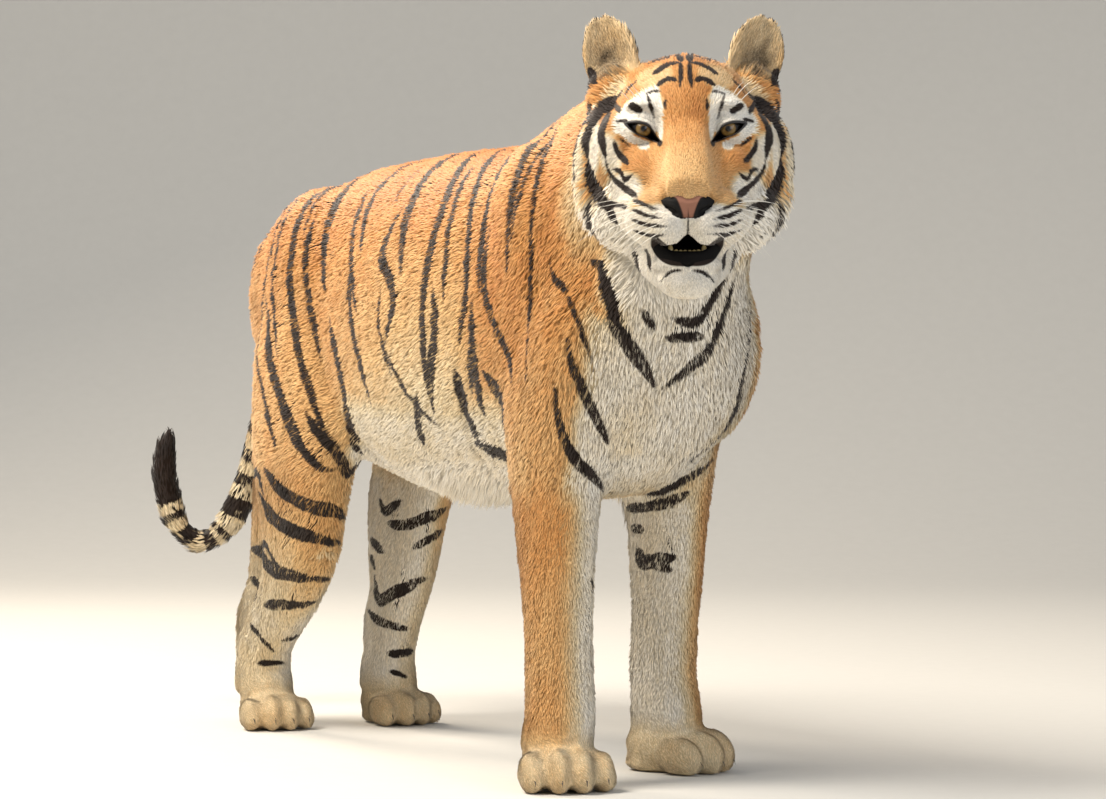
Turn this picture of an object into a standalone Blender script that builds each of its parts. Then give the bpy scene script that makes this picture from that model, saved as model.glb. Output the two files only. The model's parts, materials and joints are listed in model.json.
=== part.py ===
"""A life-size standing Bengal tiger as a still model, divided into its body parts.

Frame: metres, +Z up, soles on z = 0, the trunk along Y with the chest towards -Y, the tiger's left
side at +X. The head is turned to the tiger's right. The flesh is modelled whole from lofts and
ellipsoids, fused by a voxel remesh, and then parted along thin cuts into one solid per body part.
"""

import math

import bmesh
import bpy
from mathutils import Matrix, Vector

# Driving dimensions
WITHERS_HEIGHT = 0.955
CHEST_Y = -0.64
CHEST_FLOOR = 0.418
HEAD_TURN = math.radians(28)
NECK_TILT = math.radians(24)
EYE_MIDPOINT = Vector((-0.097, -0.798, 0.960))
EYE_SPACING = 0.121
EYEBALL_RADIUS = 0.0185
CUT_GAP = 0.0005
REACH = 3.0

# Fineness of the fused flesh: voxel size, smoothing passes and share of triangles kept
BODY_MESH = {"voxel": 0.010, "passes": 12, "keep": 0.037}
HEAD_MESH = {"voxel": 0.0042, "passes": 14, "keep": 0.0165}
PAW_MESH = {"voxel": 0.0055, "passes": 4, "keep": 0.020}

HEAD_FRAME = Matrix.Translation(EYE_MIDPOINT) @ Matrix.Rotation(-HEAD_TURN, 4, "Z")

ORANGE = (0.70, 0.32, 0.09)
CREAM = (0.78, 0.66, 0.46)
BLACK = (0.02, 0.017, 0.015)
AMBER = (0.42, 0.30, 0.09)


def head_point(x, y, z):
    """A point given in the head's own frame: x to its left, y backwards, z up, from between the eyes."""
    return HEAD_FRAME @ Vector((x, y, z))


# Shape tools


def smooth_between(values, t):
    """Catmull-Rom interpolation through values (numbers or vectors) at parameter t in 0..len-1."""
    i = min(int(t), len(values) - 2)
    f = t - i
    p1, p2 = values[i], values[i + 1]
    p0 = values[i - 1] if i > 0 else p1 + (p1 - p2)
    p3 = values[i + 2] if i + 2 < len(values) else p2 + (p2 - p1)
    return 0.5 * (
        2 * p1 + (p2 - p0) * f + (2 * p0 - 5 * p1 + 4 * p2 - p3) * f * f + (3 * p1 - p0 - 3 * p2 + p3) * f**3
    )


def superellipse(angle, power):
    """A point of the unit superellipse; power 2 is a circle and more is squarer."""
    c, s = math.cos(angle), math.sin(angle)
    return (
        math.copysign(abs(c) ** (2 / power), c),
        math.copysign(abs(s) ** (2 / power), s),
    )


def loft(bm, stations, power=2.2, ring=28, steps=4, cap=0.45):
    """Skins rings through stations of (centre, across vector, along vector), with rounded ends."""
    centres = [s[0] for s in stations]
    acrosses = [s[1] for s in stations]
    alongs = [s[2] for s in stations]
    count = (len(stations) - 1) * steps + 1
    rings = []
    for k in range(count):
        t = k / steps
        centre = smooth_between(centres, t)
        across = smooth_between(acrosses, t)
        along = smooth_between(alongs, t)
        row = []
        for j in range(ring):
            u, v = superellipse(2 * math.pi * j / ring, power)
            row.append(bm.verts.new(centre + across * u + along * v))
        rings.append(row)
    for low, high in zip(rings, rings[1:]):
        for j in range(ring):
            n = (j + 1) % ring
            bm.faces.new((low[j], low[n], high[n], high[j]))
    for row, centre, inner in (
        (rings[0], centres[0], centres[1]),
        (rings[-1], centres[-1], centres[-2]),
    ):
        radius = (row[0].co - centre).length
        pole = bm.verts.new(centre + (centre - inner).normalized() * radius * cap)
        for j in range(ring):
            bm.faces.new((row[(j + 1) % ring], row[j], pole))


def limb(bm, points, power=2.1, ring=20, steps=4, cap=0.5):
    """Lofts a limb through (centre, half width across, half width fore and aft)."""
    side = Vector((1, 0, 0))
    centres = [Vector(p[0]) for p in points]
    stations = []
    for i, (centre, half_across, half_along) in enumerate(points):
        ahead = centres[min(i + 1, len(centres) - 1)]
        behind = centres[max(i - 1, 0)]
        tangent = (ahead - behind).normalized()
        across = (side - tangent * side.dot(tangent)).normalized()
        along = tangent.cross(across)
        stations.append((Vector(centre), across * half_across, along * half_along))
    loft(bm, stations, power, ring, steps, cap)


def ball(bm, centre, radii, turn=None, segments=24):
    """An ellipsoid with the given half axes, turned by a matrix about its centre."""
    turn = turn.to_4x4() if turn else Matrix.Identity(4)
    place = Matrix.Translation(centre) @ turn @ Matrix.Diagonal((*radii, 1.0))
    bmesh.ops.create_uvsphere(bm, u_segments=segments, v_segments=segments // 2, radius=1.0, matrix=place)


def head_ball(bm, centre, radii, pitch=0.0, yaw=0.0):
    """An ellipsoid placed in the head's frame."""
    turn = Matrix.Rotation(-HEAD_TURN + yaw, 3, "Z") @ Matrix.Rotation(pitch, 3, "X")
    ball(bm, head_point(*centre), radii, turn)


def both_sides(bm, centre, radii, pitch=0.0, yaw=0.0):
    """The same head ellipsoid on the left and mirrored on the right."""
    x, y, z = centre
    head_ball(bm, (x, y, z), radii, pitch, yaw)
    head_ball(bm, (-x, y, z), radii, pitch, -yaw)


def head_loft(bm, rows, power=2.4, cap=0.35):
    """Lofts rows of (y, z, half width, half height) along the head's own axis."""
    axis = HEAD_FRAME.to_3x3()
    stations = [
        (head_point(0, y, z), axis @ Vector((half_width, 0, 0)), axis @ Vector((0, 0, half_height)))
        for y, z, half_width, half_height in rows
    ]
    loft(bm, stations, power, 24, 4, cap)


def new_object(name, bm):
    """Turns a bmesh into a linked object."""
    mesh = bpy.data.meshes.new(name)
    bmesh.ops.recalc_face_normals(bm, faces=bm.faces)
    bm.to_mesh(mesh)
    bm.free()
    obj = bpy.data.objects.new(name, mesh)
    bpy.context.scene.collection.objects.link(obj)
    return obj


def evaluated_mesh(obj):
    """The mesh of an object with its modifiers applied."""
    graph = bpy.context.evaluated_depsgraph_get()
    return bpy.data.meshes.new_from_object(obj.evaluated_get(graph), depsgraph=graph)


# The flesh, region by region


def trunk(bm):
    """Chest, belly, loin and rump as one loft along the spine."""
    rows = (
        # y, top, bottom, half width
        (CHEST_Y, 0.800, 0.560, 0.105),
        (-0.57, 0.900, 0.480, 0.145),
        (-0.47, 0.955, CHEST_FLOOR + 0.010, 0.166),
        (-0.34, 0.970, CHEST_FLOOR, 0.176),
        (-0.16, WITHERS_HEIGHT, CHEST_FLOOR - 0.003, 0.187),
        (0.02, 0.951, CHEST_FLOOR - 0.017, 0.188),
        (0.15, 0.943, CHEST_FLOOR - 0.008, 0.178),
        (0.28, 0.936, 0.440, 0.164),
        (0.40, 0.914, 0.520, 0.156),
        (0.51, 0.872, 0.580, 0.150),
        (0.60, 0.828, 0.630, 0.122),
        (0.65, 0.785, 0.670, 0.075),
    )
    stations = [
        (
            Vector((0, y, (top + bottom) / 2)),
            Vector((half_width, 0, 0)),
            Vector((0, 0, (top - bottom) / 2)),
        )
        for y, top, bottom, half_width in rows
    ]
    loft(bm, stations, power=2.25, ring=36)


def neck(bm):
    """The neck rises from the shoulders and bends to the turned head."""
    rows = (
        # x, y, top, bottom, half width, share of the head's turn
        (0.000, -0.20, 0.960, 0.520, 0.130, 0.0),
        (0.000, -0.32, 0.998, 0.480, 0.146, 0.0),
        (-0.003, -0.43, 1.036, 0.465, 0.148, 0.15),
        (-0.010, -0.53, 1.052, 0.510, 0.142, 0.4),
        (-0.024, -0.61, 1.054, 0.590, 0.131, 0.7),
        (-0.040, -0.68, 1.048, 0.690, 0.120, 1.0),
    )
    stations = []
    for x, y, top, bottom, half_width, share in rows:
        turn = Matrix.Rotation(-HEAD_TURN * share, 3, "Z") @ Matrix.Rotation(NECK_TILT * share, 3, "X")
        half_height = (top - bottom) / 2
        stations.append(
            (
                Vector((x, y, (top + bottom) / 2)),
                turn @ Vector((half_width, 0, 0)),
                turn @ Vector((0, 0, half_height)),
            )
        )
    loft(bm, stations, power=2.15, ring=36)
    ball(bm, (-0.004, -0.550, 0.630), (0.128, 0.100, 0.175), Matrix.Rotation(math.radians(8), 3, "X"))
    ball(bm, (-0.014, -0.600, 0.740), (0.124, 0.098, 0.170), Matrix.Rotation(math.radians(16), 3, "X"))


def leg_loft(bm, rows):
    """Lofts a leg through level sections of (x, y, z, half width, half length)."""
    stations = [(Vector((x, y, z)), Vector((a, 0, 0)), Vector((0, b, 0))) for x, y, z, a, b in rows]
    loft(bm, stations, power=2.15, ring=24, steps=4, cap=0.5)


def foreleg(bm, side, elbow, forearm, wrist, paw, toe_turn):
    """Shoulder muscles, upper arm and forearm of one foreleg; side is +1 for the left."""
    ball(bm, (side * 0.105, -0.400, 0.765), (0.072, 0.135, 0.200), Matrix.Rotation(math.radians(-20), 3, "X"))
    ball(bm, (side * 0.118, -0.500, 0.640), (0.064, 0.105, 0.140), Matrix.Rotation(math.radians(12), 3, "X"))
    ball(bm, (side * 0.120, elbow.y - 0.010, 0.555), (0.064, 0.118, 0.150))
    reach = elbow.y + 0.008
    leg_loft(
        bm,
        [
            (side * 0.115, reach - 0.035, 0.640, 0.060, 0.120),
            (side * 0.118, reach - 0.018, 0.540, 0.062, 0.112),
            (elbow.x, reach, elbow.z, 0.060, 0.100),
            (elbow.x * 0.5 + forearm.x * 0.5, (reach + forearm.y) / 2, 0.375, 0.055, 0.080),
            (forearm.x, forearm.y, forearm.z, 0.051, 0.067),
            (wrist.x * 0.5 + forearm.x * 0.5, (wrist.y + forearm.y) / 2, 0.215, 0.049, 0.061),
            (wrist.x, wrist.y, wrist.z, 0.050, 0.062),
            (wrist.x * 0.6 + paw.x * 0.4, wrist.y * 0.6 + paw.y * 0.4, 0.105, 0.050, 0.060),
            (paw.x, paw.y + 0.014, 0.060, 0.050, 0.062),
        ],
    )
    ball(bm, elbow + Vector((0, 0.082, 0.0)), (0.032, 0.036, 0.055))
    ball(bm, wrist + Vector((side * 0.006, 0.052, -0.020)), (0.015, 0.018, 0.024))
    forepaw(bm, paw, toe_turn)


def paw_ball(bm, paw, turn, centre, radii, pitch=0.0):
    """An ellipsoid placed in a paw's frame: x across, y backwards, z up from the ground."""
    frame = Matrix.Rotation(turn, 3, "Z")
    place = Vector((paw.x, paw.y, 0)) + frame @ Vector(centre)
    ball(bm, place, radii, frame @ Matrix.Rotation(pitch, 3, "X"), segments=20)


def paw_shape(bm, paw, turn, width, length, height):
    """A broad paw: the back of the hand, four toes spread in front and the pads beneath."""
    paw_ball(bm, paw, turn, (0, 0.012, height * 0.50), (width * 0.42, length * 0.36, height * 0.50))
    paw_ball(bm, paw, turn, (0, 0.018, height * 0.16), (width * 0.36, length * 0.34, height * 0.24))
    toe_width = width / 4.0
    for k in range(4):
        across = (k - 1.5) * toe_width * 0.98
        inner = abs(k - 1.5) < 1
        reach = length * (0.44 if inner else 0.33)
        toe_height = height * (0.42 if inner else 0.37)
        fan = across * 0.10
        paw_ball(
            bm,
            paw,
            turn,
            (across + fan, -reach + length * 0.10, toe_height * 0.92),
            (toe_width * 0.60, length * 0.24, toe_height),
            math.radians(8),
        )
        paw_ball(
            bm,
            paw,
            turn,
            (across + fan * 1.5, -reach, toe_height * 0.70),
            (toe_width * 0.53, length * 0.14, toe_height * 0.78),
        )


def forepaw(bm, paw, turn):
    """A front paw."""
    paw_shape(bm, paw, turn, 0.130, 0.168, 0.084)


def hindpaw(bm, paw, turn):
    """A hind paw, a little narrower than the front one."""
    paw_shape(bm, paw, turn, 0.112, 0.146, 0.076)


def hindleg(bm, side, thigh, sections, heel, paw, toe_turn):
    """Haunch, thigh, shank and foot of one hind leg; sections are level cuts from the knee down."""
    ball(bm, (side * 0.090, 0.395, 0.733), (0.084, 0.200, 0.168), Matrix.Rotation(math.radians(10), 3, "X"))
    ball(bm, (side * 0.085, 0.532, 0.705), (0.070, 0.122, 0.150), Matrix.Rotation(math.radians(-10), 3, "X"))
    ball(bm, (side * 0.108, thigh.y, thigh.z), (0.078, 0.195, 0.180))
    leg_loft(bm, [(side * x, y, z, a, b) for x, y, z, a, b in sections])
    limb(
        bm,
        [
            (heel + Vector((side * 0.014, -0.165, 0.250)), 0.034, 0.056),
            (heel + Vector((side * 0.008, -0.135, 0.150)), 0.031, 0.050),
            (heel + Vector((0, -0.092, 0.070)), 0.026, 0.042),
            (heel + Vector((0, -0.038, 0.008)), 0.028, 0.034),
            (heel + Vector((0, -0.044, -0.050)), 0.029, 0.030),
        ],
    )
    hindpaw(bm, paw, toe_turn)


TAIL_POINTS = (
    # centre, radius
    ((0.0, 0.500, 0.825), 0.060),
    ((0.0, 0.600, 0.775), 0.052),
    ((-0.002, 0.690, 0.690), 0.042),
    ((-0.006, 0.760, 0.590), 0.036),
    ((-0.014, 0.815, 0.490), 0.032),
    ((-0.026, 0.858, 0.395), 0.029),
    ((-0.052, 0.895, 0.315), 0.0265),
    ((-0.092, 0.918, 0.288), 0.0255),
    ((-0.132, 0.924, 0.325), 0.0255),
    ((-0.156, 0.918, 0.390), 0.0265),
    ((-0.162, 0.905, 0.450), 0.0255),
    ((-0.155, 0.895, 0.488), 0.0165),
)


def tail(bm):
    """The tail hangs behind the rump and hooks up to the tiger's right at its tip."""
    limb(bm, [(Vector(c), r, r) for c, r in TAIL_POINTS], power=2.0, ring=16, steps=5, cap=0.6)


def skull(bm):
    """Cranium, brow, cheeks, nose bridge and whisker pads."""
    head_ball(bm, (0, 0.100, -0.002), (0.112, 0.125, 0.108))
    head_ball(bm, (0, 0.058, 0.022), (0.090, 0.072, 0.074), math.radians(-22))
    both_sides(bm, (0.054, 0.024, 0.030), (0.040, 0.036, 0.021), yaw=math.radians(16))
    both_sides(bm, (0.090, 0.058, -0.034), (0.048, 0.064, 0.064))
    both_sides(bm, (0.062, 0.020, -0.072), (0.046, 0.066, 0.052), math.radians(-12), math.radians(-14))
    both_sides(bm, (0.116, 0.108, -0.062), (0.046, 0.058, 0.098), math.radians(8))
    both_sides(bm, (0.080, 0.078, -0.116), (0.058, 0.086, 0.062), math.radians(-14))
    both_sides(bm, (0.058, -0.004, -0.116), (0.041, 0.062, 0.044))
    both_sides(bm, (0.097, 0.128, 0.042), (0.046, 0.042, 0.056))
    head_loft(
        bm,
        (
            (0.070, -0.052, 0.092, 0.088),
            (0.015, -0.058, 0.070, 0.074),
            (-0.030, -0.070, 0.056, 0.062),
            (-0.075, -0.086, 0.049, 0.048),
            (-0.108, -0.096, 0.041, 0.034),
        ),
        power=2.5,
    )
    head_loft(
        bm,
        (
            (0.050, 0.016, 0.052, 0.046),
            (0.005, -0.004, 0.038, 0.036),
            (-0.045, -0.034, 0.034, 0.031),
            (-0.092, -0.066, 0.035, 0.028),
            (-0.124, -0.090, 0.032, 0.018),
        ),
        power=2.8,
    )
    both_sides(bm, (0.042, -0.058, -0.123), (0.040, 0.058, 0.040), math.radians(-8), math.radians(-12))
    both_sides(bm, (0.024, -0.097, -0.125), (0.025, 0.031, 0.024))


def jaw(bm):
    """The lower jaw, hanging a little open under the muzzle."""
    head_loft(
        bm,
        (
            (0.120, -0.130, 0.100, 0.066),
            (0.060, -0.162, 0.086, 0.056),
            (0.005, -0.188, 0.064, 0.045),
            (-0.045, -0.204, 0.046, 0.034),
            (-0.075, -0.209, 0.034, 0.028),
        ),
        power=2.3,
        cap=0.5,
    )
    head_ball(bm, (0, -0.058, -0.212), (0.043, 0.040, 0.028))


def mouth_air(bm):
    """The wedge of air between the lips, open to the front and the sides of the muzzle."""
    head_loft(
        bm,
        (
            (0.020, -0.166, 0.030, 0.007),
            (-0.020, -0.166, 0.044, 0.010),
            (-0.060, -0.166, 0.050, 0.012),
            (-0.105, -0.166, 0.054, 0.013),
            (-0.150, -0.166, 0.060, 0.014),
        ),
        power=2.4,
        cap=0.2,
    )


def eye_air(bm):
    """The openings in front of the eyeballs."""
    both_sides(bm, (0.0615, -0.022, 0.0), (0.0200, 0.034, 0.0150))


EAR_CENTRE = Vector((0.107, 0.118, 0.100))
EAR_HALF_WIDTH = 0.043
EAR_HEIGHT = 0.136
EAR_THICKNESS = 0.0125
EAR_CUP = 0.030
EAR_LEAN = math.radians(17)
EAR_SPLAY = math.radians(18)


def ear(bm, side):
    """A rounded, cupped ear that leans outwards; it is a shell open to the front."""
    across_steps, up_steps = 14, 14
    turn = Matrix.Rotation(side * EAR_SPLAY, 3, "Z") @ Matrix.Rotation(side * EAR_LEAN, 3, "Y")
    front, back = [], []
    for i in range(up_steps + 1):
        v = i / up_steps
        swell = math.sqrt(max(0.0, 1 - (max(0.0, v - 0.45) / 0.55) ** 2))
        half = EAR_HALF_WIDTH * max(0.10, swell) * (0.86 + 0.14 * min(1.0, v / 0.45))
        front_row, back_row = [], []
        for j in range(across_steps + 1):
            u = 2 * j / across_steps - 1
            hollow = EAR_CUP * (1 - u * u) * (1 - 0.7 * v)
            base = Vector((half * u, hollow, v * EAR_HEIGHT - EAR_HEIGHT / 2))
            for row, shift in ((front_row, -EAR_THICKNESS / 2), (back_row, EAR_THICKNESS / 2)):
                place = turn @ (base + Vector((0, shift, 0)))
                place += Vector((side * EAR_CENTRE.x, EAR_CENTRE.y, EAR_CENTRE.z))
                row.append(bm.verts.new(head_point(*place)))
        front.append(front_row)
        back.append(back_row)
    for grid in (front, back):
        for i in range(up_steps):
            for j in range(across_steps):
                bm.faces.new((grid[i][j], grid[i][j + 1], grid[i + 1][j + 1], grid[i + 1][j]))
    outline = (
        [(0, j) for j in range(across_steps)]
        + [(i, across_steps) for i in range(up_steps)]
        + [(up_steps, j) for j in range(across_steps, 0, -1)]
        + [(i, 0) for i in range(up_steps, 0, -1)]
    )
    for (a, b), (c, d) in zip(outline, outline[1:] + outline[:1]):
        bm.faces.new((front[a][b], front[c][d], back[c][d], back[a][b]))


def ears(bm):
    """Both ears."""
    ear(bm, 1)
    ear(bm, -1)


# Poses of the legs

FORE = (
    dict(
        side=-1,
        elbow=Vector((-0.110, -0.440, 0.450)),
        forearm=Vector((-0.121, -0.458, 0.290)),
        wrist=Vector((-0.1225, -0.468, 0.155)),
        paw=Vector((-0.131, -0.488, 0.0)),
        toe_turn=math.radians(-16),
    ),
    dict(
        side=1,
        elbow=Vector((0.122, -0.365, 0.450)),
        forearm=Vector((0.127, -0.346, 0.290)),
        wrist=Vector((0.130, -0.328, 0.155)),
        paw=Vector((0.134, -0.348, 0.0)),
        toe_turn=math.radians(34),
    ),
)
HIND = (
    dict(
        side=-1,
        thigh=Vector((0, 0.390, 0.600)),
        sections=(
            # x, y, z, half width, half length
            (0.112, 0.392, 0.640, 0.074, 0.180),
            (0.124, 0.388, 0.560, 0.069, 0.180),
            (0.134, 0.386, 0.490, 0.063, 0.168),
            (0.135, 0.396, 0.400, 0.056, 0.136),
            (0.130, 0.410, 0.305, 0.050, 0.108),
            (0.125, 0.462, 0.235, 0.046, 0.090),
            (0.122, 0.550, 0.165, 0.044, 0.080),
            (0.120, 0.590, 0.115, 0.043, 0.060),
            (0.120, 0.585, 0.060, 0.045, 0.060),
        ),
        heel=Vector((-0.122, 0.672, 0.172)),
        paw=Vector((-0.120, 0.562, 0.0)),
        toe_turn=math.radians(-8),
    ),
    dict(
        side=1,
        thigh=Vector((0, 0.415, 0.600)),
        sections=(
            (0.106, 0.420, 0.640, 0.074, 0.172),
            (0.116, 0.430, 0.560, 0.068, 0.168),
            (0.120, 0.455, 0.480, 0.061, 0.150),
            (0.112, 0.500, 0.390, 0.054, 0.120),
            (0.106, 0.512, 0.300, 0.049, 0.100),
            (0.101, 0.518, 0.225, 0.044, 0.078),
            (0.099, 0.545, 0.160, 0.042, 0.064),
            (0.098, 0.560, 0.110, 0.042, 0.056),
            (0.097, 0.558, 0.060, 0.045, 0.058),
        ),
        heel=Vector((0.099, 0.634, 0.168)),
        paw=Vector((0.097, 0.540, 0.0)),
        toe_turn=math.radians(8),
    ),
)


def legs(bm):
    """All four legs."""
    for pose in FORE:
        foreleg(bm, **pose)
    for pose in HIND:
        hindleg(bm, **pose)


# Fusing and parting the flesh


def made_of(name, makers):
    """One object holding the shapes of several makers."""
    bm = bmesh.new()
    for make in makers:
        make(bm)
    return new_object(name, bm)


def fused(name, makers, fineness, air=()):
    """Fuses shapes into one smooth closed skin, less the air shapes, and returns its mesh."""
    obj = made_of(name, makers)
    add_remesh(obj, "fuse", fineness["voxel"])
    hollows = [made_of(name + "_air", [shape]) for shape in air]
    for hollow in hollows:
        cut = obj.modifiers.new("hollow", "BOOLEAN")
        cut.operation = "DIFFERENCE"
        cut.object = hollow
    if hollows:
        add_remesh(obj, "refuse", fineness["voxel"])
    smooth = obj.modifiers.new("soften", "SMOOTH")
    smooth.factor = 0.5
    smooth.iterations = fineness["passes"]
    thin = obj.modifiers.new("facets", "DECIMATE")
    thin.ratio = fineness["keep"]
    mesh = evaluated_mesh(obj)
    for used in (obj, *hollows):
        bpy.data.objects.remove(used)
    return mesh


def add_remesh(obj, name, voxel):
    """A voxel remesh."""
    remesh = obj.modifiers.new(name, "REMESH")
    remesh.mode = "VOXEL"
    remesh.voxel_size = voxel


def region(name, planes, grow=0.0):
    """A convex cutter: a large cube cut back to the inner side of each plane (point, outward normal)."""
    bm = bmesh.new()
    bmesh.ops.create_cube(bm, size=REACH)
    bmesh.ops.translate(bm, verts=bm.verts, vec=(0, 0, WITHERS_HEIGHT / 2))
    for point, normal in planes:
        normal = Vector(normal).normalized()
        cut = bmesh.ops.bisect_plane(
            bm,
            geom=bm.verts[:] + bm.edges[:] + bm.faces[:],
            plane_co=Vector(point) + normal * (grow - CUT_GAP / 2),
            plane_no=normal,
            clear_outer=True,
        )
        edges = [e for e in cut["geom_cut"] if isinstance(e, bmesh.types.BMEdge)]
        bmesh.ops.edgenet_fill(bm, edges=edges)
    return new_object(name, bm)


def material(name, colour, roughness):
    """A plain Principled material."""
    made = bpy.data.materials.new(name)
    made.use_nodes = True
    shader = made.node_tree.nodes["Principled BSDF"]
    shader.inputs["Base Color"].default_value = (*colour, 1)
    shader.inputs["Roughness"].default_value = roughness
    return made


def body_part(name, mesh, planes, coat, less=(), holes=()):
    """One solid: the flesh inside the planes, less other parts' regions and any holes."""
    whole = bpy.data.objects.new(name + "_flesh", mesh)
    bpy.context.scene.collection.objects.link(whole)
    inside = whole.modifiers.new("part", "BOOLEAN")
    inside.operation = "INTERSECT"
    inside.object = region(name + "_region", planes)
    others = [region(f"{name}_less_{k}", other, CUT_GAP) for k, other in enumerate(less)]
    for cutter in (*others, *holes):
        cut = whole.modifiers.new("less", "BOOLEAN")
        cut.operation = "DIFFERENCE"
        cut.object = cutter
    obj = bpy.data.objects.new(name, evaluated_mesh(whole))
    bpy.context.scene.collection.objects.link(obj)
    for used in (whole, inside.object, *others):
        bpy.data.objects.remove(used)
    obj.data.materials.clear()
    obj.data.materials.append(coat)
    return obj


def flipped(plane):
    """The same plane with its other side kept."""
    point, normal = plane
    return (point, -Vector(normal))


def head_plane(point, normal):
    """A plane given in the head's frame."""
    return (head_point(*point), HEAD_FRAME.to_3x3() @ Vector(normal))


def mirrored(plane, side):
    """A plane given for the left side (+1), for either side."""
    (px, py, pz), (nx, ny, nz) = plane
    return ((side * px, py, pz), (side * nx, ny, nz))


SIDES = (("left", 1), ("right", -1))
FLOOR = ((0, 0, -CUT_GAP / 2), (0, 0, -1))
LEG_TOP = ((0, 0, 0.390), (0, 0, 1))
FORE_PAW_TOP = ((0, 0, 0.128), (0, 0, 1))
HIND_PAW_TOP = ((0, 0, 0.112), (0, 0, 1))
FRONT_HALF = ((0, 0, 0), (0, 1, 0))
NECK_BASE = ((0, -0.500, 0.78), (0, 1, -0.62))
CHEST_BACK = ((0, -0.205, 0), (0, 1, 0.08))
LOIN_BACK = ((0, 0.125, 0), (0, 1, -0.12))
TAIL_ROOT = ((0, 0.696, 0.69), (0, 1, -0.10))
TAIL_BEND = ((-0.015, 0.822, 0.470), (0, -0.45, 1))
TAIL_HOOK = ((-0.086, 0.9, 0.29), (1, 0, 0.12))
HEAD = [head_plane((0, 0.135, 0), (0, 1, 0.10)), head_plane((0, -0.08, -0.258), (0, 0.36, -1))]
JAW = [head_plane((0, -0.06, -0.172), (0, 0.28, 1)), head_plane((0, 0.035, -0.15), (0, 1, 0.0))]
SHOULDER = [
    ((0.074, 0, 0), (-1, 0, 0)),
    ((0, -0.400, 0.690), (0.3, 0.35, 1)),
    ((0, -0.275, 0.5), (0, 1, 0.25)),
    ((0, 0, 0.390), (0, 0, -1)),
]
THIGH = [
    ((0.060, 0, 0), (-1, 0, 0)),
    ((0, 0.400, 0.700), (0.3, -0.20, 1)),
    ((0, 0.132, 0), (0, -1, 0.12)),
    ((0, 0, 0.390), (0, 0, -1)),
]


def ear_region(side):
    """The half-spaces around one ear."""
    return [
        head_plane((side * 0.104, 0.110, 0.062), (-side * 0.40, 0, -1)),
        head_plane((side * 0.058, 0, 0), (-side, 0, 0)),
        head_plane((0, 0.070, 0), (0, -1, 0)),
        head_plane((0, 0.178, 0), (0, 1, 0)),
    ]


def both(planes):
    """A left-hand region and its mirror image."""
    return [[mirrored(plane, side) for plane in planes] for _, side in SIDES]


def make_trunk(flesh, coat):
    """Neck, chest, loin and hindquarters."""
    above_legs = flipped(LEG_TOP)
    around_head = [HEAD, *(ear_region(side) for _, side in SIDES)]
    body_part("neck", flesh, [NECK_BASE, above_legs], coat, less=around_head)
    body_part("chest", flesh, [above_legs, flipped(NECK_BASE), CHEST_BACK], coat, less=both(SHOULDER))
    body_part("loin", flesh, [above_legs, flipped(CHEST_BACK), LOIN_BACK], coat)
    body_part("rump", flesh, [above_legs, flipped(LOIN_BACK), TAIL_ROOT], coat, less=both(THIGH))


def make_legs(flesh, paws, coats):
    """Each leg as an upper part, a lower part and a paw."""
    for name, side in SIDES:
        one_side = (FLOOR[0], (-side, 0, 0))
        before_tail = ((0, 0.745, 0), (0, 1, 0))
        forward = [mirrored(plane, side) for plane in SHOULDER]
        body_part(f"shoulder_{name}", flesh, [*forward, flipped(NECK_BASE)], coats["orange"])
        backward = [mirrored(plane, side) for plane in THIGH]
        body_part(f"thigh_{name}", flesh, [*backward, TAIL_ROOT], coats["orange"])
        for end, half, paw_top in (
            ("fore", FRONT_HALF, FORE_PAW_TOP),
            ("hind", flipped(FRONT_HALF), HIND_PAW_TOP),
        ):
            shank = [LEG_TOP, flipped(paw_top), one_side, half, before_tail]
            body_part(f"{end}leg_{name}", flesh, shank, coats["orange"])
            body_part(f"{end}paw_{name}", paws, [paw_top, FLOOR, one_side, half], coats["cream"])


def make_tail(flesh, coats):
    """The tail in a root, a middle and a hooked tip."""
    clear = ((0, 0.746, 0), (0, -1, 0))
    body_part("tail_root", flesh, [flipped(TAIL_ROOT), flipped(TAIL_BEND)], coats["orange"])
    body_part("tail_middle", flesh, [clear, TAIL_BEND, flipped(TAIL_HOOK)], coats["cream"])
    body_part("tail_tip", flesh, [clear, TAIL_BEND, TAIL_HOOK], coats["black"])


def eye_centre(side):
    """The middle of an eyeball; their fronts stand just before the head frame's origin plane."""
    return head_point(side * EYE_SPACING / 2, EYEBALL_RADIUS - 0.006, 0)


def eyeball(side, grow=0.0):
    """A maker of one eyeball, or of the slightly larger hollow it sits in."""
    return lambda bm: ball(bm, eye_centre(side), (EYEBALL_RADIUS + grow,) * 3, segments=14)


def make_head(coats):
    """Head, lower jaw, ears and eyes, finer than the body."""
    flesh = fused("head_flesh", [skull, jaw, neck, ears], HEAD_MESH, air=[mouth_air, eye_air])
    sockets = [made_of("socket", [eyeball(side, CUT_GAP)]) for _, side in SIDES]
    ear_regions = [ear_region(side) for _, side in SIDES]
    body_part("head", flesh, HEAD, coats["orange"], less=[JAW, *ear_regions], holes=sockets)
    body_part("jaw", flesh, [*JAW, HEAD[1]], coats["cream"])
    for name, side in SIDES:
        body_part(f"ear_{name}", flesh, ear_region(side), coats["orange"])
        eye = made_of(f"eye_{name}", [eyeball(side)])
        eye.data.materials.append(coats["amber"])
    for socket in sockets:
        bpy.data.objects.remove(socket)


def recentre():
    """Moves every part so that the middle of the whole outline stands over the origin."""
    parts = [obj.data for obj in bpy.context.scene.objects if obj.type == "MESH"]
    for axis in (0, 1):
        places = [vertex.co[axis] for mesh in parts for vertex in mesh.vertices]
        shift = Vector((0, 0, 0))
        shift[axis] = -(min(places) + max(places)) / 2
        for mesh in parts:
            mesh.transform(Matrix.Translation(shift))


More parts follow.
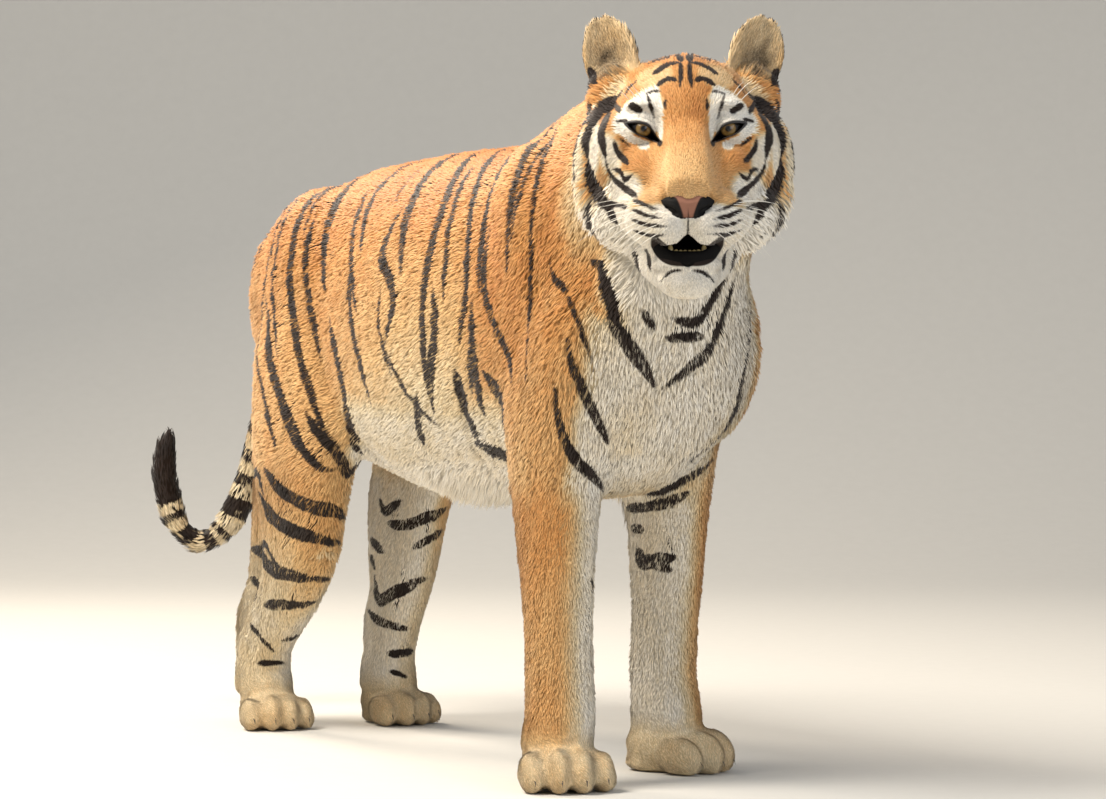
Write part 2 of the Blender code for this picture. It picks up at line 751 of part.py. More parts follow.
def main():
    """Builds every part of the tiger."""
    for obj in list(bpy.data.objects):
        bpy.data.objects.remove(obj)
    coats = {
        "orange": material("orange_coat", ORANGE, 0.8),
        "cream": material("cream_coat", CREAM, 0.8),
        "black": material("black_coat", BLACK, 0.8),
        "amber": material("amber_eye", AMBER, 0.2),
    }
    flesh = fused("flesh", [trunk, neck, skull, legs, tail], BODY_MESH)
    paws = fused("paws", [legs], PAW_MESH)
    make_trunk(flesh, coats["orange"])
    make_legs(flesh, paws, coats)
    make_tail(flesh, coats)
    make_head(coats)
    recentre()


main()
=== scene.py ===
"""The looks of a life-size Bengal tiger: one skin under a coat of short fur, with its eyes, nose,
lips, teeth, claws and whiskers, a pale studio floor, soft lamps and the camera.

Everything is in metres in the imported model's frame: +Z up, the trunk along Y with the chest towards
-Y, the tiger's left side at +X. Head shapes are given in the head's own frame, which the packed
eyes fix: x to its left, y backwards, z up, from between the fronts of the eyes.
"""

from __future__ import annotations

import json
import logging
import math
from dataclasses import dataclass
from enum import Enum
from typing import Callable, Iterable, Sequence

import bpy
import numpy as np
from mathutils import Matrix, Vector
from mathutils.bvhtree import BVHTree

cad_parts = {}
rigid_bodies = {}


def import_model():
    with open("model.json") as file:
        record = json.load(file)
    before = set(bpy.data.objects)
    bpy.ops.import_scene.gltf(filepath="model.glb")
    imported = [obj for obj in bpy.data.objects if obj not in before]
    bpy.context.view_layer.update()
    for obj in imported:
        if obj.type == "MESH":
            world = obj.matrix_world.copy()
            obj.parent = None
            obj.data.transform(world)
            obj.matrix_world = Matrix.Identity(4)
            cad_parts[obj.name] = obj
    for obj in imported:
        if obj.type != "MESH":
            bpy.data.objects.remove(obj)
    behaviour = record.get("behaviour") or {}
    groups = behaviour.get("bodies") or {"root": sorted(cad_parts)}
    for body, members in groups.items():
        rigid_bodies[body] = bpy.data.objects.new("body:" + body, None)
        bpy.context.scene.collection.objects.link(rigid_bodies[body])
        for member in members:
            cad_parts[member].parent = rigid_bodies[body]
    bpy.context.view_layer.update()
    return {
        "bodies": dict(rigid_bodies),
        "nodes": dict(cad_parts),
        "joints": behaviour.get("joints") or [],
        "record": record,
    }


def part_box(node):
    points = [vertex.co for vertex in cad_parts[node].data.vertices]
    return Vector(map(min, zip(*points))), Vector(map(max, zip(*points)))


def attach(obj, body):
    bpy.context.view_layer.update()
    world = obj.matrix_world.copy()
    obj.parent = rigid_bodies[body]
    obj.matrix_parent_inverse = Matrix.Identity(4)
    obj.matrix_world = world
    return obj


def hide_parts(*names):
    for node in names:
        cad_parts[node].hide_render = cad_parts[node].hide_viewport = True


LOG = logging.getLogger("tiger")
BODY = "root"
SEED = 20
SIDES = {"left": 1, "right": -1}

EYE_SPACING = 0.121
EYEBALL_RADIUS = 0.0185
EYE_FRONT = 0.006
DRAWN_EYE_MIDPOINT = Vector((-0.097, -0.798, 0.960))

FLESH = (
    "head", "jaw", "ear_left", "ear_right", "neck", "chest", "loin", "rump",
    "shoulder_left", "shoulder_right", "thigh_left", "thigh_right",
    "foreleg_left", "foreleg_right", "forepaw_left", "forepaw_right",
    "hindleg_left", "hindleg_right", "hindpaw_left", "hindpaw_right",
    "tail_root", "tail_middle", "tail_tip",
)
REBUILT = ("head", "jaw", "ear_left", "ear_right")

# The trunk's middle plane, in metres along X, and what stands for far outside a marking
MIDLINE = -0.006
OUTSIDE = -0.02

# The white spot behind each ear, as (across, up) in the head's frame
EAR_SPOT = (0.120, 0.122)

Array = np.ndarray
Material = bpy.types.Material
NodeTree = bpy.types.NodeTree
Socket = bpy.types.NodeSocket
Thing = bpy.types.Object
Point = tuple[float, float, float]


# Numbers


def linear(code: str) -> tuple[float, float, float, float]:
    """Turns an sRGB hex colour into linear RGBA.

    Args:
        code: six hex digits after a hash sign.

    Returns:
        Linear red, green, blue and an alpha of one.
    """
    parts = [int(code[i : i + 2], 16) / 255 for i in (1, 3, 5)]
    light = [p / 12.92 if p <= 0.04045 else ((p + 0.055) / 1.055) ** 2.4 for p in parts]
    return (*light, 1.0)


def smooth(low: float, high: float, value: Array) -> Array:
    """A smooth step from 0 at low to 1 at high; low may be the larger.

    Args:
        low: where the step starts.
        high: where it ends.
        value: the values to step.

    Returns:
        The stepped values, from 0 to 1.
    """
    t = np.clip((value - low) / (high - low), 0.0, 1.0)
    return t * t * (3 - 2 * t)


def bump(value: Array, centre: float, half: float) -> Array:
    """A smooth hill of height one that is zero beyond half each side of its centre."""
    return smooth(1.0, 0.0, np.abs(value - centre) / half)


def unit(vectors: Array) -> Array:
    """Vectors scaled to length one."""
    return vectors / np.maximum(np.linalg.norm(vectors, axis=-1, keepdims=True), 1e-9)


def directions(like: Array, across: Array | float, along: Array | float, up: Array | float) -> Array:
    """One direction for each value in like; each part is a number or an array."""
    return np.stack([part + 0 * like for part in (across, along, up)], 1)


def waves(points: Array, wavelength: float, seed: int) -> Array:
    """Smooth noise from a few crossing sine waves.

    Args:
        points: places, one a row.
        wavelength: the noise's typical wavelength in metres.
        seed: which noise it is.

    Returns:
        Values from about -1 to 1.
    """
    rng = np.random.default_rng(seed)
    total = np.zeros(len(points))
    for _ in range(6):
        direction = unit(rng.normal(size=3)) * (2 * math.pi / wavelength) * rng.uniform(0.6, 1.5)
        total += np.sin(points @ direction + rng.uniform(0, 2 * math.pi))
    return total / 3.0


def rounded(values: Sequence[Sequence[float]], t: Array) -> Array:
    """Catmull-Rom interpolation through rows of numbers.

    Args:
        values: the rows to pass through.
        t: parameters from 0 to the number of rows less one.

    Returns:
        One interpolated row for each parameter.
    """
    rows = np.asarray(values, float)
    i = np.clip(t.astype(int), 0, len(rows) - 2)
    f = (t - i)[:, None]
    p1, p2 = rows[i], rows[i + 1]
    p0 = np.where((i > 0)[:, None], rows[np.maximum(i - 1, 0)], 2 * p1 - p2)
    p3 = np.where((i + 2 < len(rows))[:, None], rows[np.minimum(i + 2, len(rows) - 1)], 2 * p2 - p1)
    cubic = 3 * p1 - p0 - 3 * p2 + p3
    return 0.5 * (2 * p1 + (p2 - p0) * f + (2 * p0 - 5 * p1 + 4 * p2 - p3) * f**2 + cubic * f**3)


# Modelling by hand


def alone(obj: Thing) -> Thing:
    """Makes an object the only selected one, and active."""
    for other in list(bpy.context.selected_objects):
        other.select_set(False)
    obj.select_set(True)
    bpy.context.view_layer.objects.active = obj
    return obj


def joined(name: str, parts: Sequence[Thing]) -> Thing:
    """Joins objects into one at the origin.

    Args:
        name: the name of the result.
        parts: the objects to join.

    Returns:
        The joined object, with its place in its mesh.
    """
    alone(parts[0])
    for part in parts:
        part.select_set(True)
    bpy.ops.object.join()
    made = bpy.context.active_object
    made.name = made.data.name = name
    bpy.ops.object.transform_apply(location=True, rotation=True, scale=True)
    return made


def edit(obj: Thing, *steps: Callable[[], object]) -> None:
    """Runs edit-mode operators on everything in one mesh."""
    alone(obj)
    bpy.ops.object.mode_set(mode="EDIT")
    bpy.ops.mesh.select_all(action="SELECT")
    for step in steps:
        step()
    bpy.ops.object.mode_set(mode="OBJECT")


def applied(obj: Thing, kind: str, **settings: object) -> None:
    """Adds a modifier with its settings and applies it."""
    alone(obj)
    modifier = obj.modifiers.new(kind.lower(), kind)
    for name, value in settings.items():
        setattr(modifier, name, value)
    bpy.ops.object.modifier_apply(modifier=modifier.name)


def vectors(items: Sequence, name: str) -> Array:
    """One named vector from each of a mesh's items."""
    found = np.empty(len(items) * 3, np.float32)
    items.foreach_get(name, found)
    return found.reshape(-1, 3).astype(float)


def coordinates(obj: Thing) -> Array:
    """The places of an object's vertices."""
    return vectors(obj.data.vertices, "co")


def normals_of(obj: Thing) -> Array:
    """The normals of an object's vertices."""
    return vectors(obj.data.vertex_normals, "vector")


def triangle_count(obj: Thing) -> int:
    """How many triangles an object's faces make."""
    return sum(len(p.vertices) - 2 for p in obj.data.polygons)


def dressed(obj: Thing, finish: Material) -> Thing:
    """Gives a piece its material and smooth shading."""
    obj.data.materials.append(finish)
    alone(obj)
    bpy.ops.object.shade_smooth()
    return obj


def reshape(obj: Thing, places: Array) -> None:
    """Moves an object's vertices to new places."""
    obj.data.vertices.foreach_set("co", places.astype(np.float32).ravel())
    obj.data.update()


def attribute(obj: Thing, name: str, values: Array) -> None:
    """Stores a number for each vertex."""
    made = obj.data.attributes.new(name, "FLOAT", "POINT")
    made.data.foreach_set("value", values.astype(np.float32))


def sheet_of(columns: int, rows: int, name: str) -> tuple[Thing, Array, Array]:
    """A flat grid to be bent to shape.

    Args:
        columns: faces across.
        rows: faces along.
        name: the object's name.

    Returns:
        The object, and each vertex's share across and along from 0 to 1.
    """
    bpy.ops.mesh.primitive_grid_add(x_subdivisions=columns, y_subdivisions=rows, size=1.0)
    obj = alone(bpy.context.active_object)
    obj.name = obj.data.name = name
    flat = coordinates(obj)
    return obj, flat[:, 0] + 0.5, flat[:, 1] + 0.5


def closed(obj: Thing) -> Thing:
    """Welds a bent grid's seam, fills its ends and turns its faces outwards."""
    edit(
        obj,
        lambda: bpy.ops.mesh.remove_doubles(threshold=1e-6),
        lambda: bpy.ops.mesh.select_all(action="SELECT"),
        lambda: bpy.ops.mesh.fill_holes(sides=0),
        lambda: bpy.ops.mesh.select_all(action="SELECT"),
        lambda: bpy.ops.mesh.normals_make_consistent(inside=False),
    )
    return obj


def tube(name: str, stations: Sequence[tuple[Array, Array, Array]], power: float = 2.0,
         around: int = 24, steps: int = 4) -> Thing:
    """A closed tube through rings given as (centre, half axis across, half axis along).

    Args:
        name: the object's name.
        stations: the rings.
        power: 2 for round rings and more for squarer ones.
        around: vertices in a ring.
        steps: rings from one station to the next.

    Returns:
        The tube.
    """
    obj, share, along = sheet_of(around, (len(stations) - 1) * steps, name)
    rows = rounded([np.concatenate(s) for s in stations], along * (len(stations) - 1))
    angle = share * 2 * math.pi
    cosine, sine = np.cos(angle), np.sin(angle)
    u = np.sign(cosine) * np.abs(cosine) ** (2 / power)
    v = np.sign(sine) * np.abs(sine) ** (2 / power)
    reshape(obj, rows[:, :3] + rows[:, 3:6] * u[:, None] + rows[:, 6:9] * v[:, None])
    return closed(obj)


# Materials


def node(tree: NodeTree, kind: str, feeds: dict[str | int, object] | None = None,
         **settings: object) -> bpy.types.Node:
    """Adds a node with its settings, links and values.

    Args:
        tree: the node tree.
        kind: the node's type without ShaderNode.
        feeds: a socket to link or a value to set, by input name or number.
        settings: properties by name; one that names an input socket sets its value.

    Returns:
        The node.
    """
    made = tree.nodes.new("ShaderNode" + kind)
    for name, value in settings.items():
        if hasattr(made, name):
            setattr(made, name, value)
        else:
            made.inputs[name.replace("_", " ")].default_value = value
    feed(tree, made, feeds or {})
    return made


def feed(tree: NodeTree, target: bpy.types.Node, feeds: dict[str | int, object]) -> None:
    """Links a socket to an input, or sets a value on it, by input name or number."""
    for name, source in feeds.items():
        if isinstance(source, Socket):
            tree.links.new(source, target.inputs[name])
        else:
            target.inputs[name].default_value = source


def blank(name: str) -> tuple[Material, NodeTree, bpy.types.Node]:
    """A new material with its tree and its Principled shader."""
    made = bpy.data.materials.new(name)
    made.use_nodes = True
    tree = made.node_tree
    return made, tree, tree.nodes["Principled BSDF"]


# Places on the body


@dataclass(frozen=True)
class HeadFrame:
    """The head's own axes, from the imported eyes."""

    matrix: Matrix
    turn: float
    shift: Vector

    @classmethod
    def found(cls) -> HeadFrame:
        """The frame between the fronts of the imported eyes."""
        left, right = (sum(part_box(f"eye_{side}"), Vector()) / 2 for side in SIDES)
        across = (left - right).normalized()
        back = Vector((0, 0, 1)).cross(across)
        origin = (left + right) / 2 - back * (EYEBALL_RADIUS - EYE_FRONT)
        matrix = Matrix((across, back, (0, 0, 1))).transposed().to_4x4()
        matrix.translation = origin
        return cls(matrix, math.atan2(across.y, across.x), origin - DRAWN_EYE_MIDPOINT)

    def place(self, points: Array) -> Array:
        """Head points in the model's frame."""
        matrix = np.array(self.matrix)
        return np.asarray(points, float) @ matrix[:3, :3].T + matrix[:3, 3]

    def turned(self, directions: Array) -> Array:
        """Head directions in the model's frame."""
        return np.asarray(directions, float) @ np.array(self.matrix)[:3, :3].T

    def local(self, points: Array) -> Array:
        """Model points in the head's frame."""
        matrix = np.array(self.matrix)
        return (np.asarray(points, float) - matrix[:3, 3]) @ matrix[:3, :3]

    def local_directions(self, directions: Array) -> Array:
        """Model directions in the head's frame."""
        return np.asarray(directions, float) @ np.array(self.matrix)[:3, :3]


@dataclass(frozen=True)
class TailRoute:
    """The middle line of the tail, from under the rump to the hooked tip."""

    drawn: tuple[Point, ...] = (
        (0.0, 0.600, 0.775), (-0.002, 0.690, 0.690), (-0.006, 0.760, 0.590), (-0.014, 0.815, 0.490),
        (-0.026, 0.858, 0.395), (-0.052, 0.895, 0.315), (-0.092, 0.918, 0.288), (-0.132, 0.924, 0.325),
        (-0.156, 0.918, 0.390), (-0.162, 0.905, 0.450), (-0.155, 0.895, 0.500),
    )
    steps: int = 120

    def line(self, shift: Vector) -> Array:
        """Close points along the route."""
        along = np.linspace(0, len(self.drawn) - 1, self.steps)
        return rounded(self.drawn, along) + np.array(shift)

    def near(self, points: Array, shift: Vector) -> tuple[Array, Array, Array]:
        """How far along the tail points lie.

        Args:
            points: places on or near the tail.
            shift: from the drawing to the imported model.

        Returns:
            Each point's length along the route, its direction there and the route's nearest point.
        """
        line = self.line(shift)
        lengths = np.concatenate(([0], np.cumsum(np.linalg.norm(np.diff(line, axis=0), axis=1))))
        nearest = np.argmin(((points[:, None] - line[None]) ** 2).sum(-1), axis=1)
        direction = unit(np.gradient(line, axis=0))[nearest]
        offset = ((points - line[nearest]) * direction).sum(1)
        return lengths[nearest] + offset, direction, line[nearest]


class Anatomy:
    """Tells which part of the animal a point lies on, and how the coat lies there."""

    head_back = 0.150
    head_bottom = -0.262
    leg_top = (0.400, 0.470)
    tail_start = 0.705
    girth_height = 0.69

    def __init__(self, head: HeadFrame, tail: TailRoute) -> None:
        """Keeps the frames that places are read in."""
        self.head = head
        self.tail = tail

    def on_head(self, points: Array) -> Array:
        """One on the head, zero elsewhere, with a soft edge at the neck."""
        h = self.head.local(points)
        back = smooth(self.head_back, self.head_back - 0.05, h[:, 1] + 0.1 * h[:, 2])
        level = smooth(self.head_bottom, self.head_bottom + 0.03, h[:, 2])
        return np.maximum(back * level, self.on_ear(points))

    def on_face(self, points: Array) -> Array:
        """One on the front of the face."""
        h = self.head.local(points)
        return smooth(0.075, 0.020, h[:, 1]) * self.on_head(points)

    def on_ear(self, points: Array) -> Array:
        """One on the ears."""
        h = self.head.local(points)
        rise = h[:, 2] - 0.074 + 0.25 * (np.abs(h[:, 0]) - 0.104)
        level = smooth(-0.008, 0.010, rise) * smooth(0.050, 0.066, np.abs(h[:, 0]))
        return level * smooth(0.185, 0.160, h[:, 1]) * smooth(0.030, 0.060, h[:, 1])

    def on_tail(self, points: Array) -> Array:
        """One on the free length of the tail."""
        edge = self.tail_start + self.head.shift.y
        sloping = points[:, 1] + 0.25 * (points[:, 2] - 0.69)
        return smooth(edge - 0.03, edge + 0.02, sloping) * (points[:, 1] > 0.655)

    def on_leg(self, points: Array) -> Array:
        """One on the legs below the trunk."""
        y = points[:, 1]
        there = np.maximum(smooth(-0.27, -0.33, y), smooth(0.22, 0.34, y + 0.5 * (points[:, 2] - 0.43)))
        return smooth(self.leg_top[1], self.leg_top[0], points[:, 2]) * (1 - self.on_tail(points)) * there

    def on_paw(self, points: Array) -> Array:
        """One on the paws."""
        return smooth(0.125, 0.075, points[:, 2])

    def mixed(self, points: Array, trunk: Array | float, leg: float, paw: float, tail: float,
              head: Array | float, face: Array | float, ear: float) -> Array:
        """A number for each point from its values on each part, blended where the parts meet."""
        value = np.broadcast_to(np.asarray(trunk, float), (len(points),)).copy()
        for share, part in (
            (self.on_leg(points), leg), (self.on_paw(points), paw), (self.on_tail(points), tail),
            (self.on_head(points), head), (self.on_face(points), face), (self.on_ear(points), ear),
        ):
            value += (part - value) * share
        return value

    def under(self, points: Array) -> Array:
        """One on the belly, chest and throat, where the coat is longer."""
        belly = smooth(0.50, 0.43, points[:, 2]) * (np.abs(points[:, 1] + 0.02) < 0.42)
        throat = smooth(-0.50, -0.60, points[:, 1]) * smooth(0.80, 0.72, points[:, 2])
        return np.maximum(belly, throat)

    def ruff(self, points: Array) -> Array:
        """One on the cheek ruff and jowls."""
        h = self.head.local(points)
        low = smooth(-0.035, -0.085, h[:, 2])
        side = smooth(0.050, 0.085, np.abs(h[:, 0]))
        return low * side * smooth(-0.01, 0.03, h[:, 1]) * self.on_head(points)

    def coat_depth(self, points: Array) -> Array:
        """How far the skin lies under the tips of the coat, in metres."""
        ruff = self.ruff(points)
        return self.mixed(
            points, 0.0075 + 0.002 * self.under(points), 0.0050, 0.0022, 0.0055, 0.0055 + 0.004 * ruff,
            0.0026 + 0.005 * ruff, 0.0020,
        )

    def lie(self, points: Array, normals: Array) -> Array:
        """The direction in which the coat's tips point, along the skin.

        Args:
            points: places on the skin.
            normals: the skin's normals there.

        Returns:
            A unit vector for each point, tangent to the skin.
        """
        x, y, z = points.T
        side = np.sign(x - MIDLINE)
        flank = smooth(0.95, 0.80, z)
        trunk = directions(x, 0, 1, -0.55 * flank)
        fore = smooth(-0.28, -0.50, y)[:, None]
        trunk = trunk * (1 - fore) + directions(x, 0, 0.45, -0.80 * flank - 0.1) * fore
        front = (smooth(-0.30, -0.85, normals[:, 1]) * smooth(-0.40, -0.52, y))[:, None]
        trunk = trunk * (1 - front) + directions(x, 0.10 * side, 0.05, -1) * front
        leg = directions(x, 0, 0.18, -1)
        paw = directions(x, -0.1 * side, -0.75, -0.55)
        tail = np.tile([0.0, 0.3, -1.0], (len(points), 1))
        hanging = self.on_tail(points) > 0
        tail[hanging] = self.tail.near(points[hanging], self.head.shift)[1]
        flow = trunk
        for share, part in ((self.on_leg(points), leg), (self.on_paw(points), paw),
                            (self.on_tail(points), tail), (self.on_head(points), self.head_lie(points))):
            flow = flow + (part - flow) * share[:, None]
        flow = flow + 0.12 * np.stack([waves(points, 0.11, seed) for seed in (1, 2, 3)], 1)
        return unit(flow - (flow * normals).sum(1, keepdims=True) * normals)

    def head_lie(self, points: Array) -> Array:
        """The coat's direction on the head: away from the nose, up the brow, and back and down the cheeks."""
        h = self.head.local(points)
        x, _, z = h.T
        side = np.sign(x)
        away = unit(h - np.array([0.0, -0.150, -0.085]))
        brow = smooth(-0.01, 0.05, z)[:, None]
        flow = away * (1 - brow) + directions(x, 0.9 * x / 0.1, 0.8, 0.6) * brow
        cheek = (smooth(0.055, 0.095, np.abs(x)) * smooth(0.04, -0.02, z))[:, None]
        flow = flow * (1 - cheek) + directions(x, 0.55 * side, 0.55, -0.62) * cheek
        chin = (smooth(-0.165, -0.19, z) * smooth(0.07, 0.05, np.abs(x)))[:, None]
        flow = flow * (1 - chin) + directions(x, 0, 0.55, -0.85) * chin
        ear = self.on_ear(points)[:, None]
        flow = flow * (1 - ear) + directions(x, 0.35 * side, 0, 1) * ear
        return self.head.turned(flow)


# The skin


@dataclass(frozen=True)
class Ball:
    """An ellipsoid of flesh in the head's frame; a paired one stands on both sides."""

    centre: Point
    radii: Point
    pitch: float = 0.0
    yaw: float = 0.0
    paired: bool = True


@dataclass(frozen=True)
class HeadShape:
    """The balls and tubes that make the head."""

    balls: tuple[Ball, ...] = (
        Ball((0, 0.100, 0.003), (0.112, 0.125, 0.109), paired=False),
        Ball((0, 0.058, 0.022), (0.090, 0.072, 0.074), pitch=-22, paired=False),
        Ball((0.052, 0.020, 0.031), (0.036, 0.034, 0.017), yaw=16),
        Ball((0.090, 0.058, -0.034), (0.048, 0.064, 0.064)),
        Ball((0.062, 0.020, -0.072), (0.046, 0.066, 0.052), pitch=-12, yaw=-14),
        Ball((0.116, 0.108, -0.062), (0.046, 0.058, 0.098), pitch=8),
        Ball((0.080, 0.078, -0.116), (0.058, 0.086, 0.062), pitch=-14),
        Ball((0.058, -0.004, -0.116), (0.041, 0.062, 0.044)),
        Ball((0.097, 0.128, 0.042), (0.046, 0.042, 0.056)),
        Ball((0.045, -0.058, -0.126), (0.043, 0.060, 0.042), pitch=-8, yaw=-12),
        Ball((0.028, -0.088, -0.137), (0.0310, 0.042, 0.030)),
        Ball((0, -0.058, -0.214), (0.043, 0.040, 0.028), paired=False),
        Ball((0, -0.056, -0.190), (0.050, 0.042, 0.022), paired=False),
        Ball((0.044, -0.022, -0.152), (0.022, 0.056, 0.030)),
        Ball((0, -0.106, -0.112), (0.030, 0.024, 0.026), paired=False),
    )
    throat: tuple[tuple[Point, float, float, float], ...] = (
        ((-0.010, -0.53, 0.781), 0.142, 0.271, 0.4),
        ((-0.024, -0.61, 0.822), 0.131, 0.232, 0.7),
        ((-0.040, -0.68, 0.869), 0.120, 0.179, 1.0),
    )
    throat_tilt: float = math.radians(24)
    gullet: tuple[Point, Point, float] = ((-0.014, -0.600, 0.740), (0.124, 0.098, 0.170), math.radians(16))
    muzzle: tuple[tuple[float, ...], ...] = (
        (0.070, -0.052, 0.092, 0.088),
        (0.015, -0.058, 0.070, 0.074),
        (-0.030, -0.070, 0.054, 0.060),
        (-0.075, -0.086, 0.046, 0.046),
        (-0.108, -0.096, 0.038, 0.034),
    )
    bridge: tuple[tuple[float, ...], ...] = (
        (0.050, 0.016, 0.052, 0.046),
        (0.005, -0.004, 0.038, 0.036),
        (-0.045, -0.034, 0.034, 0.031),
        (-0.092, -0.066, 0.035, 0.028),
        (-0.124, -0.090, 0.031, 0.018),
    )
    jaw: tuple[tuple[float, ...], ...] = (
        (0.120, -0.130, 0.100, 0.066),
        (0.060, -0.162, 0.086, 0.056),
        (0.005, -0.188, 0.064, 0.043),
        (-0.045, -0.206, 0.046, 0.032),
        (-0.075, -0.211, 0.034, 0.026),
    )
    mouth: tuple[tuple[float, ...], ...] = (
        (-0.010, -0.172, 0.014, 0.010),
        (-0.045, -0.172, 0.019, 0.018),
        (-0.085, -0.172, 0.022, 0.024),
        (-0.150, -0.172, 0.024, 0.028),
    )


@dataclass(frozen=True)
class EarShape:
    """A rounded, cupped ear that leans outwards."""

    centre: Point = (0.103, 0.118, 0.099)
    half_width: float = 0.0405
    height: float = 0.131
    thickness: float = 0.0120
    cup: float = 0.032
    lean: float = math.radians(17)
    splay: float = math.radians(18)


@dataclass(frozen=True)
class Paw:
    """Where one paw stands in the drawing, how far its toes turn, and its size."""

    place: tuple[float, float]
    turn: float
    width: float
    length: float
    height: float

    def frame(self) -> Matrix:
        """The paw's turn about the upright axis."""
        return Matrix.Rotation(math.radians(self.turn), 3, "Z")

    def origin(self, shift: Vector) -> Vector:
        """Where it stands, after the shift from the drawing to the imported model."""
        return Vector((*self.place, 0)) + Vector((shift.x, shift.y, 0))


# The right and left forepaws, then the right and left hind paws
PAWS = (
    Paw((-0.131, -0.488), -16, 0.130, 0.168, 0.084),
    Paw((0.134, -0.348), 34, 0.130, 0.168, 0.084),
    Paw((-0.120, 0.562), -8, 0.112, 0.146, 0.076),
    Paw((0.097, 0.540), 8, 0.112, 0.146, 0.076),
)


@dataclass(frozen=True)
class EyeShape:
    """The almond between the lids, on the animal's left, as (across, up) in the head's frame."""

    upper: tuple[tuple[float, float], ...] = (
        (0.0350, -0.0205), (0.0435, -0.0090), (0.0515, 0.0020), (0.0610, 0.0067), (0.0720, 0.0083),
        (0.0840, 0.0074),
    )
    lower: tuple[tuple[float, float], ...] = (
        (0.0840, 0.0074), (0.0785, 0.0000), (0.0690, -0.0078), (0.0575, -0.0122), (0.0460, -0.0172),
        (0.0350, -0.0205),
    )
    lid: float = 0.0016
    curve: float = 0.030

    def depth(self, off: Array) -> Array:
        """How far back the lids lie at distances from the eye's middle."""
        return -EYE_FRONT - self.lid + off**2 / (2 * self.curve)

    def outline(self, count: int = 40) -> Array:
        """A closed ring of points round the almond."""
        halves = []
        for row in (self.upper, self.lower):
            halves.append(rounded(row, np.linspace(0, len(row) - 1, count))[:-1])
        return np.concatenate(halves)

    def inside(self, across: Array, up: Array) -> Array:
        """Distance inside the almond, negative outside it."""
        ring = self.outline()
        point = np.stack([across, up], 1)[:, None]
        start, end = ring[None], np.roll(ring, -1, axis=0)[None]
        span = end - start
        share = np.clip(((point - start) * span).sum(-1) / (span**2).sum(-1), 0, 1)
        distance = np.sqrt(((point - start - share[..., None] * span) ** 2).sum(-1)).min(1)
        above = (start[..., 1] > point[..., 1]) != (end[..., 1] > point[..., 1])
        cross = start[..., 0] + (point[..., 1] - start[..., 1]) / (span[..., 1] + 1e-12) * span[..., 0]
        odd = (above & (point[..., 0] < cross)).sum(1) % 2 == 1
        return np.where(odd, distance, -distance)


